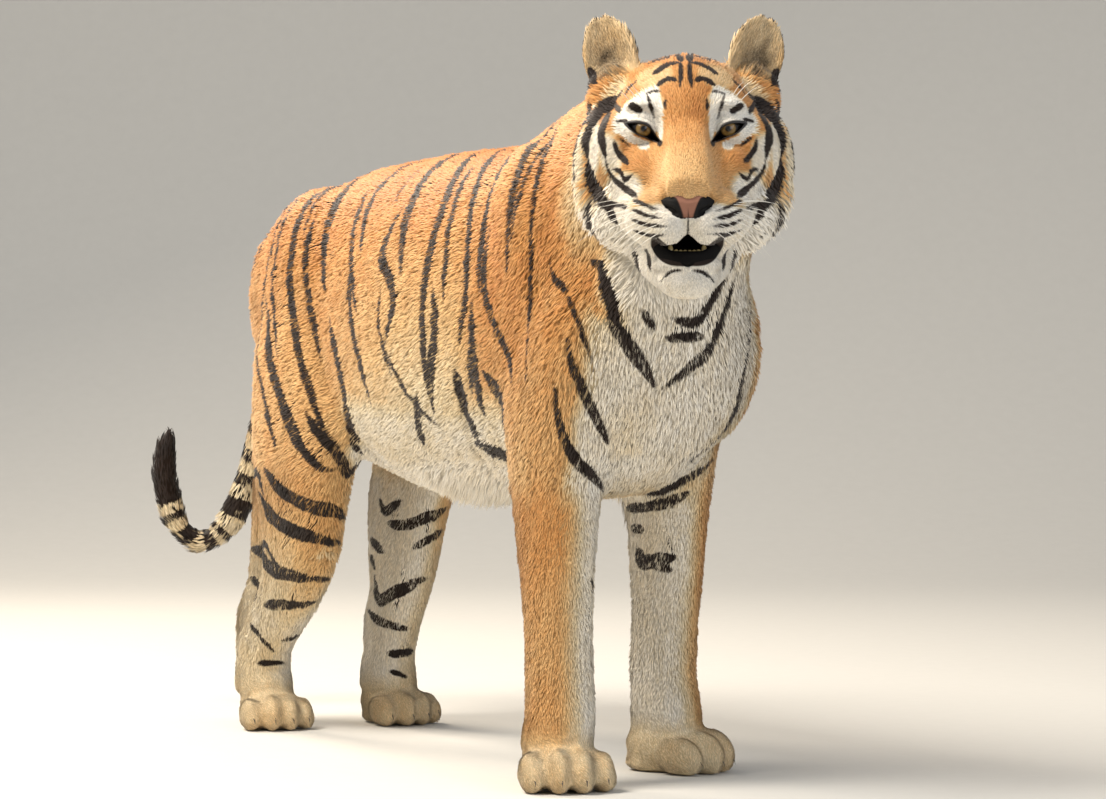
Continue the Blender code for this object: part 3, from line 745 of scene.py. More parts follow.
class Skin:
    """One skin over the whole body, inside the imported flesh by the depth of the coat."""

    voxel = 0.0030
    quick_voxel = 0.0050
    triangles = 172_000
    overlap = 0.0015
    sole = 0.0012

    def __init__(self, frame: dict, anatomy: Anatomy) -> None:
        """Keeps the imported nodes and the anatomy."""
        self.nodes = frame["nodes"]
        self.anatomy = anatomy
        self.head = anatomy.head
        self.shape = HeadShape()
        self.eye = EyeShape()

    def body(self) -> Thing:
        """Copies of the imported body, grown a little so that the thin cuts between them close."""
        copies = []
        for name in FLESH:
            if name not in REBUILT:
                copy = self.nodes[name].copy()
                copy.data = copy.data.copy()
                copy.parent = None
                bpy.context.scene.collection.objects.link(copy)
                copies.append(copy)
        body = joined("body", copies)
        edit(body, lambda: bpy.ops.mesh.remove_doubles(threshold=1e-5))
        applied(body, "DISPLACE", strength=self.overlap, mid_level=0.0)
        return body

    def ball(self, centre: Iterable[float], radii: Iterable[float], turn: Point) -> Thing:
        """An ellipsoid at its size and place."""
        bpy.ops.mesh.primitive_uv_sphere_add(
            segments=32, ring_count=16, radius=1.0, location=tuple(centre), rotation=turn, scale=tuple(radii)
        )
        return bpy.context.active_object

    def head_balls(self) -> list[Thing]:
        """The head's ellipsoids."""
        made = []
        for ball in self.shape.balls:
            for side in (1, -1) if ball.paired else (1,):
                x, y, z = ball.centre
                centre = self.head.place([[side * x, y, z]])[0]
                turn = (math.radians(ball.pitch), 0, self.head.turn + side * math.radians(ball.yaw))
                made.append(self.ball(centre, ball.radii, turn))
        return made

    def head_tube(self, name: str, rows: Iterable[tuple[float, ...]], power: float) -> Thing:
        """A tube along the head through rows of (back, up, half width, half height)."""
        across, up = self.head.turned([[1, 0, 0], [0, 0, 1]])
        stations = [(self.head.place([[0, y, z]])[0], across * w, up * h) for y, z, w, h in rows]
        return tube(name, stations, power)

    def throat(self) -> Thing:
        """The front of the neck, where it runs into the head."""
        stations = []
        for place, half_width, half_height, share in self.shape.throat:
            turn = Matrix.Rotation(self.head.turn * share, 3, "Z")
            turn = turn @ Matrix.Rotation(self.shape.throat_tilt * share, 3, "X")
            across, up = turn @ Vector((half_width, 0, 0)), turn @ Vector((0, 0, half_height))
            stations.append((np.array(Vector(place) + self.head.shift), np.array(across), np.array(up)))
        return tube("throat", stations, 2.15, around=36)

    def ear(self, side: int) -> Thing:
        """One ear, bent from a grid and given its thickness."""
        shape = EarShape()
        obj, across, v = sheet_of(28, 28, "ear")
        u = across * 2 - 1
        swell = np.sqrt(np.maximum(0, 1 - (np.maximum(0, v - 0.54) / 0.46) ** 2.3))
        half = shape.half_width * np.maximum(0.14, swell) * (0.84 + 0.16 * np.minimum(1, v / 0.5))
        hollow = shape.cup * (1 - u**2) * (1 - 0.7 * v)
        drop = 0.05 * u**4 * smooth(0.5, 1.0, v)
        flat = np.stack([half * u, hollow, (v - 0.5 - drop) * shape.height], 1)
        turn = Matrix.Rotation(side * shape.splay, 3, "Z") @ Matrix.Rotation(side * shape.lean, 3, "Y")
        centre = np.array(shape.centre) * (side, 1, 1)
        reshape(obj, self.head.place(flat @ np.array(turn).T + centre))
        applied(obj, "SOLIDIFY", thickness=shape.thickness, offset=0.0)
        return obj

    def paw(self, paw: Paw) -> list[Thing]:
        """The back of a paw, its four toes and the pads beneath."""
        turn = math.radians(paw.turn)
        frame, origin = paw.frame(), paw.origin(self.head.shift)
        w, l, h = paw.width, paw.length, paw.height
        balls = [
            ((0, 0.012, h * 0.50), (w * 0.42, l * 0.36, h * 0.50), 0.0),
            ((0, -l * 0.14, h * 0.46), (w * 0.44, l * 0.34, h * 0.44), 14.0),
            ((0, 0.018, h * 0.16), (w * 0.36, l * 0.34, h * 0.24), 0.0),
        ]
        toe = w / 4
        for k in range(4):
            inner = abs(k - 1.5) < 1
            across = (k - 1.5) * toe * 0.98
            reach = l * (0.44 if inner else 0.33)
            tall = h * (0.40 if inner else 0.35)
            balls.append(((across * 1.08, l * 0.10 - reach, tall * 0.94), (toe * 0.60, l * 0.26, tall), 10.0))
            balls.append(((across * 1.13, -reach, tall * 0.70), (toe * 0.55, l * 0.15, tall * 0.80), 0.0))
        return [self.ball(origin + frame @ Vector(c), r, (math.radians(p), 0, turn)) for c, r, p in balls]

    def fused(self) -> Thing:
        """Body, head, ears and paws in one closed mesh."""
        voxel = self.voxel
        parts = [self.body(), *self.head_balls()]
        parts.append(self.head_tube("muzzle", self.shape.muzzle, 2.5))
        parts.append(self.head_tube("bridge", self.shape.bridge, 2.8))
        parts.append(self.head_tube("jaw_flesh", self.shape.jaw, 2.3))
        parts.append(self.throat())
        centre, radii, pitch = self.shape.gullet
        parts.append(self.ball(Vector(centre) + self.head.shift, radii, (pitch, 0, 0)))
        parts += [self.ear(side) for side in SIDES.values()]
        for paw in PAWS:
            parts += self.paw(paw)
        skin = joined("skin", parts)
        applied(skin, "REMESH", mode="VOXEL", voxel_size=voxel)
        return skin

    def open_mouth(self, skin: Thing) -> None:
        """Cuts the parted mouth, a pointed oval that widens towards the front."""
        mouth = self.head_tube("mouth_air", self.shape.mouth, 1.25)
        applied(skin, "BOOLEAN", operation="DIFFERENCE", object=mouth, solver="MANIFOLD")
        bpy.data.objects.remove(mouth)

    def group(self, skin: Thing, name: str, weights: Array) -> str:
        """Stores weights as a vertex group, in tenths."""
        group = skin.vertex_groups.new(name=name)
        tenths = np.round(weights * 10).astype(int)
        for level in range(1, 11):
            group.add(np.flatnonzero(tenths == level).tolist(), level / 10, "REPLACE")
        return name

    def build(self) -> Thing:
        """Makes the finished skin with its folds and lids."""
        skin = self.fused()
        places = coordinates(skin)
        h = self.head.local(places)
        lips = smooth(0.085, 0.055, np.hypot(h[:, 0], h[:, 2] + 0.150)) * smooth(-0.035, -0.060, h[:, 1])
        head, paw = self.anatomy.on_head(places), self.anatomy.on_paw(places)
        lips = np.maximum(lips, self.anatomy.on_ear(places))
        for name, share, passes in (
            ("body", 1 - np.maximum(head, paw), 34), ("head", head * (1 - lips), 20),
            ("fine", lips * head, 6), ("paw", paw, 20),
        ):
            applied(skin, "SMOOTH", factor=0.5, iterations=passes, vertex_group=self.group(skin, name, share))
        places = coordinates(skin)
        depth = self.anatomy.coat_depth(places) + self.folds(places)
        places = places - normals_of(skin) * depth[:, None]
        places[:, 2] = np.maximum(places[:, 2], self.sole)
        reshape(skin, places)
        faces = triangle_count(skin)
        places = coordinates(skin)
        keep = 1 - np.clip(self.anatomy.on_face(places) + 0.6 * self.anatomy.on_head(places)
                           + 0.5 * self.anatomy.on_paw(places), 0, 1)
        thin = self.group(skin, "thin", keep)
        applied(skin, "DECIMATE", ratio=min(1.0, self.triangles / faces), vertex_group=thin,
                vertex_group_factor=0.6)
        self.open_mouth(skin)
        self.seat_nose(skin)
        self.carve_eyes(skin)
        skin.vertex_groups.clear()
        skin.data.materials.clear()
        alone(skin)
        bpy.ops.object.shade_smooth()
        LOG.info("skin: %d triangles", triangle_count(skin))
        return skin

    def folds(self, places: Array) -> Array:
        """Depth of the loose folds at the elbows, flanks, throat and nape, in metres."""
        x, y, z = (places - np.array(self.head.shift) * (1, 1, 0)).T
        elbow = bump(y + 0.22 + 0.25 * (z - 0.5), 0, 0.016) * smooth(0.70, 0.58, z) * smooth(0.40, 0.46, z)
        groin = bump(y - 0.21 - 0.45 * (z - 0.5), 0, 0.020) * smooth(0.72, 0.62, z) * smooth(0.40, 0.45, z)
        shoulder = bump(y + 0.245 - 0.30 * (z - 0.8), 0, 0.030) * bump(z, 0.80, 0.13)
        neck = bump(y + 0.455 - 0.35 * (z - 0.8), 0, 0.030) * bump(z, 0.80, 0.20)
        neck = neck * smooth(0.05, 0.1, np.abs(x))
        spine = bump(x, 0, 0.020) * smooth(0.90, 0.93, z) * smooth(-0.30, -0.10, y)
        return 0.005 * elbow + 0.006 * groin + 0.004 * shoulder + 0.004 * neck - 0.002 * spine

    def seat_nose(self, skin: Thing) -> None:
        """Sinks the skin under the nose pad, so that the nostrils have room."""
        h = self.head.local(coordinates(skin))
        pad = NosePad()
        share = np.clip(h[:, 0] / pad.half_width, -1, 1)
        inside = np.minimum(pad.upper(share) - h[:, 2], h[:, 2] - pad.lower(share))
        inside = np.minimum(inside, pad.half_width - np.abs(h[:, 0]))
        h[:, 1] += 0.011 * smooth(0.0010, 0.0050, inside) * (h[:, 1] < -0.060)
        reshape(skin, self.head.place(h))

    def carve_eyes(self, skin: Thing) -> None:
        """Refines the mesh round each eye, wraps the lids over the eyeball and opens them."""
        h = self.head.local(coordinates(skin))
        near = (np.abs(np.abs(h[:, 0]) - 0.060) < 0.032) & (np.abs(h[:, 2] + 0.002) < 0.028)
        near &= h[:, 1] < 0.05
        alone(skin)
        bpy.ops.object.mode_set(mode="EDIT")
        bpy.ops.mesh.select_mode(type="VERT")
        bpy.ops.mesh.select_all(action="DESELECT")
        bpy.ops.object.mode_set(mode="OBJECT")
        skin.data.vertices.foreach_set("select", near)
        bpy.ops.object.mode_set(mode="EDIT")
        bpy.ops.mesh.subdivide(number_cuts=2, smoothness=0.3)
        bpy.ops.object.mode_set(mode="OBJECT")
        h = self.head.local(coordinates(skin))
        side = np.sign(h[:, 0])
        across, up = h[:, 0] * side, h[:, 2]
        near = (np.abs(across - 0.060) < 0.036) & (np.abs(up + 0.002) < 0.034) & (h[:, 1] < 0.05)
        inside = np.full(len(h), -1.0)
        inside[near] = self.eye.inside(across[near], up[near])
        off = np.hypot(across - EYE_SPACING / 2, up)
        middle = EYEBALL_RADIUS - EYE_FRONT
        ball = middle - np.sqrt(np.maximum(EYEBALL_RADIUS**2 - off**2, 0))
        orbit = smooth(0.036, 0.016, off) * near
        lid = self.eye.depth(off)
        crease = bump(inside, -0.0065, 0.0030) * (up > 0.002)
        y = h[:, 1] + (lid + 0.0015 * crease - h[:, 1]) * orbit
        y = y - 0.0008 * smooth(-0.0035, -0.0005, inside) * near
        floor = np.maximum(ball + 0.002, y + 0.003)
        y = np.where(near, y + (floor - y) * smooth(-0.0002, 0.0010, inside), y)
        h[:, 1] = y
        reshape(skin, self.head.place(h))


# Markings


class Face(Enum):
    """Where a stroke is drawn, and so which way it is laid on the skin."""

    REAR = "rear"
    RIGHT_FLANK = "right flank"
    LEFT_FLANK = "left flank"
    CHEST = "chest"
    HEAD_FRONT = "head front"
    HEAD_SIDE = "head side"
    HEAD_TOP = "head top"
    FORELEG_RIGHT = "foreleg_right"
    FORELEG_LEFT = "foreleg_left"
    HINDLEG_RIGHT = "hindleg_right"
    HINDLEG_LEFT = "hindleg_left"


Stroke = tuple[float, tuple[tuple[float, float], ...]]

# Half width in millimetres, then (centimetres along the trunk, degrees round it from the spine)
FLANK_STROKES: tuple[Stroke, ...] = (
    (4, ((54, 20), (57, 50), (60, 90))),
    (5, ((47, 20), (46, 55), (50, 85), (49, 120))),
    (6, ((43, 10), (43, 55), (43, 85), (37, 115))),
    (10, ((37, 5), (37, 50), (34, 95), (22, 145))),
    (4, ((36, 25), (34, 50))),
    (8, ((33, 40), (31, 75), (26, 115))),
    (10, ((33, 5), (29, 40), (24, 80))),
    (8, ((20, 25), (15, 55), (9, 90))),
    (9, ((13, 60), (13, 80), (6, 130))),
    (9, ((15, 5), (15, 30), (10, 60))),
    (11, ((22, 90), (18, 125), (22, 155))),
    (13, ((48, 80), (40, 115), (24, 150))),
    (7, ((50, 110), (36, 140))),
    (9, ((28, 130), (23, 145), (26, 160))),
    (4, ((5, 20), (4, 40))),
    (11, ((-1, 40), (1, 60), (-5, 80), (-2, 105))),
    (5, ((-2, 105), (-8, 125), (-16, 140))),
    (5, ((0, 75), (0, 95), (-4, 120))),
    (12, ((2, 5), (-2, 30), (-7, 70))),
    (11, ((-5, 5), (-15, 40), (-15, 90), (-15, 135))),
    (12, ((-18, 75), (-19, 95), (-15, 130))),
    (7, ((-15, 20), (-20, 50), (-22, 85))),
    (8, ((-25, 40), (-28, 75), (-26, 105))),
    (8, ((-13, 5), (-22, 30), (-29, 65))),
    (8, ((-23, 5), (-30, 40), (-32, 80))),
    (8, ((-33, 50), (-34, 80), (-43, 120))),
    (9, ((-36, 5), (-40, 35), (-41, 70))),
    (4, ((-42, 15), (-42, 60))),
    (5, ((-41, 10), (-46, 50), (-48, 125))),
    (10, ((-30, 80), (-30, 135))),
    (6, ((-29, 105), (-28, 125))),
    (12, ((-24, 115), (-25, 145))),
    (12, ((-32, 115), (-37, 130), (-36, 145))),
    (10, ((-11, 125), (-7, 145))),
    (12, ((-23, 145), (-36, 155))),
)

# Half width in millimetres, then (millimetres to the animal's left, millimetres up)
CHEST_STROKES: tuple[Stroke, ...] = (
    (11, ((-135, 780), (-115, 680), (-60, 590))),
    (9, ((45, 755), (15, 655), (-50, 590))),
    (7, ((-130, 770), (-75, 675))),
    (8, ((-60, 695), (-15, 690), (25, 760))),
    (7, ((-60, 665), (0, 665))),
    (5, ((-155, 785), (-155, 700), (-135, 615))),
    (8, ((-165, 670), (-150, 600), (-95, 510))),
    (8, ((-170, 600), (-145, 495), (-70, 435))),
    (8, ((110, 730), (95, 620), (105, 530), (35, 480))),
    (8, ((140, 480), (60, 425))),
    (9, ((110, 430), (60, 400))),
)

# Half width in millimetres, then (millimetres from the middle line, millimetres up), on both buttocks
REAR_STROKES: tuple[Stroke, ...] = (
    (6, ((45, 840), (90, 780), (115, 705))),
    (6, ((140, 700), (110, 655), (65, 640))),
    (6, ((145, 625), (120, 595), (85, 580))),
    (6, ((140, 550), (115, 525), (80, 520))),
    (6, ((140, 485), (115, 465), (85, 460))),
)

# Half width in millimetres, then (degrees round the leg, centimetres up).
# 0 degrees is the leg's outer side and 90 its front.
LEG_STROKES: dict[Face, tuple[Stroke, ...]] = {
    Face.HINDLEG_RIGHT: (
        (12, ((0, 44), (50, 41), (100, 36))),
        (8, ((-80, 42), (-40, 43), (10, 39))),
        (13, ((-40, 40), (20, 37), (100, 32))),
        (12, ((-80, 30), (0, 28), (100, 26))),
        (6, ((-70, 31), (0, 31), (50, 28))),
        (10, ((50, 21), (100, 22))),
        (7, ((85, 15), (110, 16))),
        (6, ((30, 18), (80, 13))),
        (5, ((50, 11), (110, 11))),
        (7, ((-80, 25), (-20, 21))),
        (9, ((120, 38), (160, 36), (200, 38))),
        (9, ((120, 30), (160, 28), (200, 30))),
        (8, ((130, 23), (180, 21), (220, 23))),
        (8, ((-130, 35), (-85, 35))),
    ),
    Face.HINDLEG_LEFT: (
        (8, ((205, 38), (165, 36), (130, 38))),
        (10, ((155, 34), (110, 34), (80, 37))),
        (8, ((110, 30), (80, 33))),
        (8, ((230, 31), (165, 29))),
        (7, ((230, 28), (205, 26))),
        (11, ((215, 25), (150, 21), (85, 25))),
        (8, ((195, 19), (90, 16))),
        (8, ((120, 12), (65, 12))),
        (5, ((115, 9), (80, 8))),
        (12, ((60, 42), (0, 40), (-60, 44))),
        (12, ((60, 35), (0, 33), (-75, 37))),
        (11, ((60, 27), (0, 26), (-80, 29))),
        (8, ((55, 20), (0, 19), (-55, 21))),
        (7, ((45, 13), (0, 12), (-35, 14))),
    ),
    Face.FORELEG_RIGHT: (
        (12, ((120, 35), (180, 33))),
        (5, ((120, 31), (125, 29))),
        (8, ((145, 41), (185, 40))),
    ),
    Face.FORELEG_LEFT: (
        (7, ((205, 37), (160, 37))),
        (11, ((205, 34), (160, 32), (110, 33))),
        (6, ((150, 32), (110, 31))),
    ),
}

# Half width in millimetres, then millimetres from the face's middle line and up from the eyes; both halves
FACE_STROKES: tuple[Stroke, ...] = (
    (4, ((6, 96), (6, 76), (8, 56))),
    (7, ((6, 94), (25, 90), (46, 76))),
    (6, ((12, 66), (25, 70), (42, 60))),
    (5, ((4, 102), (20, 102), (36, 95))),
    (5, ((8, 108), (25, 106), (42, 98))),
    (3, ((34, 50), (44, 52), (56, 48))),
    (3, ((55, 50), (50, 32), (44, 14))),
    (3, ((28, 42), (30, 32), (28, 24))),
    (4, ((66, 70), (78, 58), (86, 46))),
    (7, ((80, 32), (62, 24))),
    (5, ((98, 40), (90, 22))),
    (4, ((80, 12), (88, 12), (96, 10))),
    (3, ((94, -12), (76, -26))),
    (10, ((90, 45), (116, 30), (136, -5), (136, -42))),
    (11, ((136, -38), (130, -74), (110, -114))),
    (8, ((106, 24), (118, -5), (112, -42))),
    (5, ((114, -38), (104, -66), (68, -100))),
    (5, ((100, -14), (96, -30), (80, -50))),
    (4, ((106, -56), (92, -60), (85, -72), (72, -62))),
    (4, ((134, -98), (80, -114))),
    (7, ((112, -104), (96, -134))),
    (6, ((56, -170), (50, -200))),
    (8, ((72, -166), (62, -202))),
    (3, ((6, -200), (20, -202), (30, -210))),
    (2, ((24, -200), (36, -216))),
    (8, ((136, 90), (126, 66))),
)

# The four dark lines on each whisker pad, each about a centimetre under the last
PAD_STROKES: tuple[Stroke, ...] = tuple(
    (3.5, ((36 - 3 * row, -119 - 10 * row), (54, -113 - 12 * row), (76, -103 - 13 * row))) for row in range(4)
)

# Half width in millimetres, then (millimetres back and up from the eyes), on the side of the head
HEAD_SIDE_STROKES: tuple[Stroke, ...] = (
    (11, ((60, 60), (100, 10), (98, -70))),
    (11, ((110, 45), (135, -20), (118, -100))),
    (10, ((70, -100), (110, -150))),
    (10, ((118, 78), (146, 40))),
)

# Half width in millimetres, then (millimetres left and back), on the crown and nape
HEAD_TOP_STROKES: tuple[Stroke, ...] = (
    (6, ((6, 40), (10, 100))),
    (6, ((20, 62), (34, 76), (50, 84))),
    (6, ((16, 84), (32, 100), (52, 104))),
    (8, ((10, 112), (30, 122), (58, 118))),
    (10, ((0, 140), (34, 148), (74, 140))),
)

# Centimetres along the tail from under the rump, half width in millimetres, and 1 for a full ring
TAIL_RINGS: tuple[tuple[float, float, float], ...] = (
    (6, 10, 0.45), (11, 9, 0.5), (16, 10, 0.6), (21, 10, 0.7), (26, 9, 0.8), (31, 10, 0.9), (36, 9, 1),
    (41, 11, 1), (46, 10, 1), (51.5, 17, 1), (56.5, 6, 1), (59.5, 10, 1), (65, 13, 1), (68.5, 6, 1),
)
TAIL_TIP = 71.5


@dataclass
class Line:
    """A stroke laid on the skin: close points, the skin's normal there and the half width."""

    places: Array
    normals: Array
    half: Array


def lip_edges(x: Array) -> tuple[Array, Array]:
    """The heights of the lower lip's top and bottom edges at distances from the face's middle line."""
    return -0.1725 + 0.0175 * smooth(0.018, 0.050, x), -0.1945 + 0.030 * (x / 0.051) ** 4


def lip_inside(x: Array, z: Array) -> Array:
    """How far inside the black lower lip a place on the face lies, in metres, negative outside."""
    upper, lower = lip_edges(x)
    return np.minimum(np.minimum(upper - z, z - lower), 0.051 - x)


class Markings:
    """Lays the stripes on the skin and tells how dark and how pale each place is."""

    spacing = 0.004
    reach = 0.016

    def __init__(self, skin: Thing, anatomy: Anatomy) -> None:
        """Reads the skin's surface and lays every stroke on it."""
        self.anatomy = anatomy
        self.head = anatomy.head
        mesh = skin.data
        mesh.calc_loop_triangles()
        triangles = np.empty(len(mesh.loop_triangles) * 3, np.int32)
        mesh.loop_triangles.foreach_get("vertices", triangles)
        self.places, self.normals = coordinates(skin), normals_of(skin)
        self.triangles = triangles.reshape(-1, 3)
        self.tree = BVHTree.FromPolygons(self.places.tolist(), self.triangles.tolist())
        self.lines = list(self.laid())
        LOG.info("markings: %d strokes laid", len(self.lines))

    def aim(self, face: Face, a: float, b: float) -> tuple[Array, Array]:
        """Where a drawn point is shot from and towards.

        Args:
            face: the side it is drawn on.
            a: its first drawn coordinate.
            b: its second.

        Returns:
            Where the ray starts and its direction: inwards from outside the skin, but outwards
            from the leg's middle for a stroke on a leg.
        """
        if face in (Face.RIGHT_FLANK, Face.LEFT_FLANK):
            side = -1 if face is Face.RIGHT_FLANK else 1
            angle = math.radians(b)
            out = np.array([side * math.sin(angle), 0, math.cos(angle)])
            middle = np.array([MIDLINE, a / 100, self.anatomy.girth_height])
            return middle + out * 0.5, -out
        if face is Face.CHEST:
            return np.array([a / 1000, -1.2, b / 1000]), np.array([0.0, 1.0, 0.0])
        if face is Face.HEAD_FRONT:
            return (self.head.place([[a / 1000, -0.4, b / 1000]])[0], self.head.turned([[0, 1, 0]])[0])
        if face is Face.HEAD_SIDE:
            side = math.copysign(1, b)
            return (self.head.place([[side * 0.4, a / 1000, abs(b) / 1000 - 0.3]])[0],
                    self.head.turned([[-side, 0, 0]])[0])
        if face is Face.HEAD_TOP:
            return (self.head.place([[a / 1000, b / 1000, 0.4]])[0], self.head.turned([[0, 0, -1]])[0])
        if face is Face.REAR:
            return np.array([a / 1000 + MIDLINE, 1.3, b / 1000]), np.array([0.0, -1.0, 0.0])
        side = -1 if "right" in face.value else 1
        height = b / 100
        near = self.places[(np.abs(self.places[:, 2] - height) < 0.03) & (self.places[:, 0] * side > 0)]
        front = near[:, 1] < -0.1 if "fore" in face.value else (near[:, 1] > 0.30) & (near[:, 1] < 0.71)
        near = near[front]
        middle = np.array([*(near[:, :2].min(0) + near[:, :2].max(0)) / 2, height])
        angle = math.radians(a)
        out = np.array([side * math.cos(angle), -math.sin(angle), 0])
        return middle, out

    def struck(self, face: Face, origin: Array, direction: Array) -> tuple[Vector | None, Vector | None]:
        """Where a ray meets the skin; one for the chest or rear passes through the head or tail first."""
        passed = {Face.CHEST: self.anatomy.on_head, Face.REAR: self.anatomy.on_tail}.get(face)
        start, ahead = Vector(origin), Vector(direction)
        for _ in range(8):
            place, normal, _, _ = self.tree.ray_cast(start, ahead, 1.4)
            if place is None or passed is None:
                return place, normal
            if normal.dot(ahead) < 0 and passed(np.array([place]))[0] < 0.3:
                return place, normal
            start = place + ahead * 1e-4
        return None, None

    def lay(self, face: Face, stroke: Stroke, pointed: float = 0.26) -> Line | None:
        """Lays one drawn stroke on the skin.

        Args:
            face: the side it is drawn on.
            stroke: its half width and points.
            pointed: the share of its length over which each end narrows.

        Returns:
            The laid line, or None where it misses the skin.
        """
        width, points = stroke
        along = np.linspace(0, len(points) - 1, 10 * len(points))
        hits = []
        for share, (a, b) in zip(along / along[-1], rounded(points, along)):
            origin, direction = self.aim(face, a, b)
            place, normal = self.struck(face, origin, direction)
            if place is not None:
                hits.append((share, *place, *normal))
        if len(hits) < 2:
            return None
        rows = np.array(hits)
        jump = np.linalg.norm(np.diff(rows[:, 1:4], axis=0), axis=1)
        length = np.concatenate(([0], np.cumsum(np.minimum(jump, 0.05))))
        fine = np.arange(0, length[-1] + self.spacing, self.spacing)
        rows = np.stack([np.interp(fine, length, column) for column in rows.T], 1)
        share = fine / fine[-1]
        ends = np.minimum(share, 1 - share) / pointed
        half = width / 1000 * np.clip(ends, 0.05, 1) ** 0.6
        half = half * (1 + 0.13 * waves(rows[:, 1:4], 0.06, 11))
        padded = np.pad(rows[:, 4:7], ((2, 2), (0, 0)), "edge")
        even = np.stack([padded[k:k + len(rows)] for k in range(5)]).mean(0)
        return Line(rows[:, 1:4], unit(even), half)

    def laid(self) -> Iterable[Line]:
        """Every stroke on both sides of the body, the face and the legs."""
        groups: list[tuple[Face, Stroke]] = []
        rng = np.random.default_rng(SEED)
        for width, points in FLANK_STROKES:
            groups.append((Face.RIGHT_FLANK, (width, points)))
            slide, stretch = rng.uniform(-2.2, 2.2), rng.uniform(0.96, 1.04)
            moved = tuple((a + slide + rng.uniform(-0.6, 0.6), b * stretch) for a, b in points)
            groups.append((Face.LEFT_FLANK, (width * rng.uniform(0.85, 1.15), moved)))
        groups += [(Face.CHEST, stroke) for stroke in CHEST_STROKES]
        for width, points in REAR_STROKES:
            groups.append((Face.REAR, (width, points)))
            groups.append((Face.REAR, (width, tuple((-a, b + rng.uniform(-14, 14)) for a, b in points))))
        for face, strokes in LEG_STROKES.items():
            groups += [(face, stroke) for stroke in strokes]
        front = [(Face.HEAD_FRONT, stroke) for stroke in FACE_STROKES + PAD_STROKES]
        top = [(Face.HEAD_TOP, stroke) for stroke in HEAD_TOP_STROKES]
        for side in (1, -1):
            for face, (width, points) in front + top:
                right, up = rng.uniform(-1.2, 1.2, 2) if side < 0 else (0, 0)
                groups.append((face, (width, tuple((side * a + right, b + up) for a, b in points))))
            for width, points in HEAD_SIDE_STROKES:
                lifted = tuple((a, side * (b + 300)) for a, b in points)
                groups.append((Face.HEAD_SIDE, (width, lifted)))
        for face, stroke in groups:
            line = self.lay(face, stroke)
            if line is not None:
                yield line

    def inked(self, points: Array) -> Array:
        """How far inside a dark marking each point lies, in metres, negative outside.

        Args:
            points: places on or near the skin.

        Returns:
            The distance for each point, at least OUTSIDE but for a fine waver.
        """
        found = np.full(len(points), OUTSIDE)
        for line in self.lines:
            margin = line.half.max() + 0.006
            low, high = line.places.min(0) - margin - 0.01, line.places.max(0) + margin + 0.01
            near = np.flatnonzero(((points > low) & (points < high)).all(1))
            if not len(near):
                continue
            apart = points[near, None] - line.places[None]
            depth = (apart * line.normals[None]).sum(-1)
            flat = np.sqrt(np.maximum((apart**2).sum(-1) - depth**2, 0))
            inside = np.where(np.abs(depth) < self.reach, line.half[None] - flat, OUTSIDE).max(1)
            found[near] = np.maximum(found[near], inside)
        return np.maximum(found, self.ringed(points)) + 0.0007 * waves(points, 0.012, 21)

    def ringed(self, points: Array) -> Array:
        """How far inside a ring of the tail each point lies."""
        found = np.full(len(points), OUTSIDE)
        tail = np.flatnonzero(self.anatomy.on_tail(points) > 0.3)
        if len(tail):
            along, _, centre = self.anatomy.tail.near(points[tail], self.head.shift)
            above = unit(points[tail] - centre)[:, 1]
            best = np.full(len(tail), OUTSIDE)
            for place, half, full in TAIL_RINGS:
                width = half / 1000 * np.where(full < 1, smooth(-0.9, 0.6, above + full), 1.0)
                skew = 0.006 * math.sin(place)
                best = np.maximum(best, width - np.abs(along - place / 100 - skew * above))
            best = np.maximum(best, along - TAIL_TIP / 100)
            found[tail] = best
        return found

    def paleness(self, points: Array, normals: Array) -> Array:
        """The ground colour between the stripes, from 0, deep orange, to 1, white.

        Args:
            points: places on or near the skin.
            normals: the skin's normals there.

        Returns:
            A number for each point.
        """
        x, y, z = points.T
        side = np.sign(x - MIDLINE)
        hind = smooth(-0.15, 0.30, y)
        flank = 0.10 + (0.30 - 0.14 * hind) * smooth(0.93, 0.70, z)
        flank = flank + (0.38 - 0.26 * hind) * smooth(0.76, 0.50, z)
        fore = smooth(-0.22, -0.34, y)
        shoulder = 0.18 + 0.22 * smooth(0.80, 0.45, z)
        pale = flank * (1 - fore) + shoulder * fore
        belly = smooth(-0.25, -0.75, normals[:, 2]) * smooth(0.60, 0.50, z) * (z > 0.30)
        low = 0.86 * smooth(0.64, 0.52, z) * smooth(-0.42, -0.34, y) * smooth(0.26, 0.16, y)
        pale = np.maximum(pale, np.maximum(0.95 * belly, low))
        h = self.head.local(points)
        collar = smooth(0.29, 0.17, h[:, 1]) * smooth(0.05, 0.11, np.abs(h[:, 0]))
        collar = collar * bump(h[:, 2], -0.08, 0.19)
        pale = np.maximum(pale, 0.74 * collar)
        front = smooth(-0.10, -0.75, normals[:, 1]) * smooth(-0.40, -0.50, y)
        front = front * smooth(0.165, 0.125, np.abs(x - MIDLINE))
        pale = np.maximum(pale, 0.93 * front * smooth(0.86, 0.76, z))
        leg = self.anatomy.on_leg(points)
        inner = smooth(0.50, -0.60, normals[:, 0] * side + 0.25 * normals[:, 1] * (y < 0))
        fore_leg = 0.24 + 0.10 * smooth(0.40, 0.15, z)
        hind_leg = 0.36 + 0.40 * smooth(0.42, 0.20, z) - 0.12 * smooth(0.2, 0.8, normals[:, 1])
        outer = np.where(y < 0, fore_leg, hind_leg)
        pale += (outer + (0.92 - outer) * inner - pale) * leg
        pale += (0.66 - pale) * 0.9 * self.anatomy.on_paw(points) * smooth(0.10, 0.05, z)
        pale += (0.74 - pale) * self.anatomy.on_tail(points) * smooth(0.62, 0.40, z)
        head = self.anatomy.on_head(points)
        pale += (self.head_paleness(points, normals) - pale) * head
        return np.clip(pale + 0.035 * waves(points, 0.09, 31) + 0.02 * waves(points, 0.02, 32), 0, 1)

